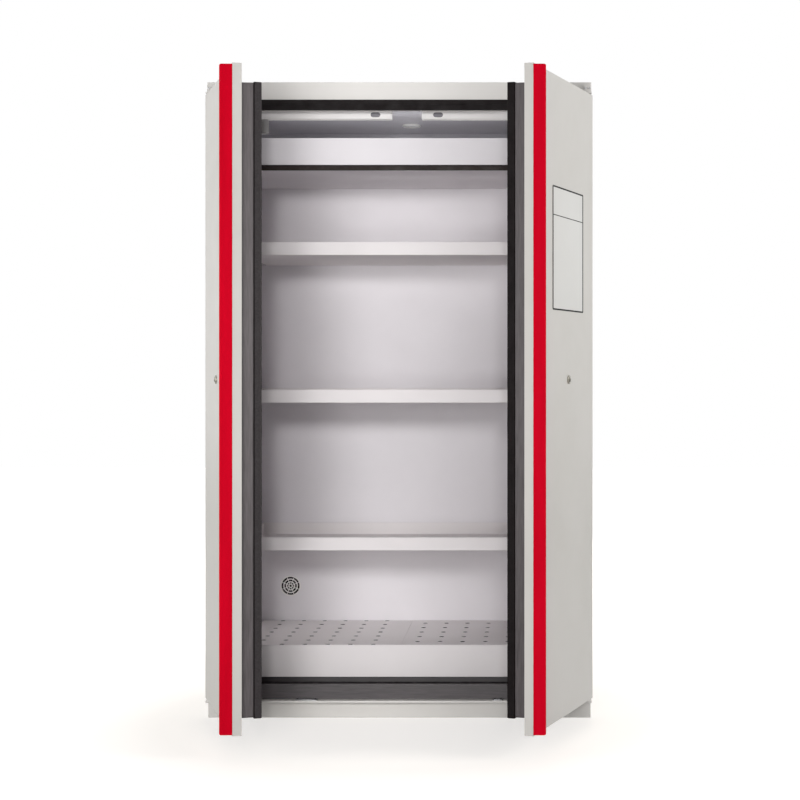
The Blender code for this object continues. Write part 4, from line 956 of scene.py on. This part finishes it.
def add_hidden_lamps():
    """Faint strip lamps behind the header and below header and shelves, hidden from the camera.

    Each stays clear of the sheet above it: a strip that stood through a shelf would light its floor.
    """
    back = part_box("back_liner")[0].y
    header_low, header_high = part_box("header_and_ceiling")
    shelf_low = {name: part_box(name + "_shelf")[0] for name in ("upper", "lower")}
    front = header_low.y + 0.03
    lift = header_high.z - 0.012
    strips = (("slot_lamp", (0.0, front, lift), (0.0, front + 0.1, lift + 0.1), (1.0, 0.02), 0.38),
              ("upper_bay_lamp", (0.15, front + 0.12, header_low.z - 0.012),
               (0.15, back, header_low.z - 0.5), (0.7, 0.03), 0.21),
              ("middle_bay_lamp", (0.05, back - 0.09, shelf_low["upper"].z - 0.014),
               (0.05, back, shelf_low["upper"].z - 0.05), (0.8, 0.02), 0.06),
              ("lower_bay_lamp", (-0.16, back - 0.3, shelf_low["lower"].z - 0.004),
               (-0.16, back - 0.3, 0.0), (0.7, 0.2), 0.21))
    for name, place, target, size, watts in strips:
        lamp = add_softbox(name, place, target, size, watts)
        lamp.visible_camera = False
        lamp.visible_glossy = False


def build_lights():
    """A front key left of the camera, a tall beam into the compartment, lamps at the sides and back."""
    add_softbox("front_key", (-0.85, -5.9, 2.0), (0.0, 0.0, 1.1), (1.0, 1.4), 40)
    add_softbox("front_fill", (-0.70, -5.6, 1.0), (0.0, 0.0, 1.1), (1.0, 0.8), 34)
    add_beam("compartment_beam", (0.42, -5.9, 2.0), (-0.085, 0.0, 1.3), 24.0, 0.85, (0.160, 1.0), 0.30, 570)
    add_softbox("low_softbox", (-0.3, -5.4, 0.5), (0.0, 0.0, 0.8), (1.0, 0.5), 26)
    add_softbox("left_softbox", (-4.6, -1.4, 1.4), (-0.5, -0.3, 1.0), (2.0, 2.2), 90)
    add_softbox("right_softbox", (4.4, -1.2, 2.4), (0.5, -0.3, 1.2), (2.0, 2.0), 96)
    add_softbox("back_softbox", (0.6, 5.4, 2.6), (0.0, 0.3, 1.0), (2.4, 2.0), 110)
    add_hidden_lamps()


def build_camera():
    """The photo's camera: level, facing the cabinet, with its picture shifted sideways."""
    data = bpy.data.cameras.new("photo_camera")
    data.sensor_width = SENSOR_MM
    data.sensor_fit = "HORIZONTAL"
    data.lens = SENSOR_MM * FOCAL_PX / PHOTO_SIZE
    half = PHOTO_SIZE / 2
    data.shift_x = -(PRINCIPAL_PX[0] - half) / PHOTO_SIZE
    data.shift_y = (PRINCIPAL_PX[1] - half) / PHOTO_SIZE
    camera = placed("photo_camera", data)
    camera.location = (CAMERA_X, FRONT_Y - CAMERA_DISTANCE, CAMERA_HEIGHT)
    camera.rotation_euler = (math.radians(90.0), 0.0, 0.0)
    bpy.context.scene.camera = camera


def main():
    """Build the looks on the CAD frame."""
    bpy.context.scene.view_settings.view_transform = "Standard"
    build_camera()
    finish_cad_nodes()
    soften_edges()
    build_ledge_catches()
    build_casing_screws()
    build_header_seal()
    build_closer_space()
    build_sill_strip()
    build_duct_grille()
    build_duct_gauze()
    build_perforated_inserts()
    build_sign()
    build_seal_shadow_line()
    build_lock_faces()
    build_stage()
    build_lights()


main()
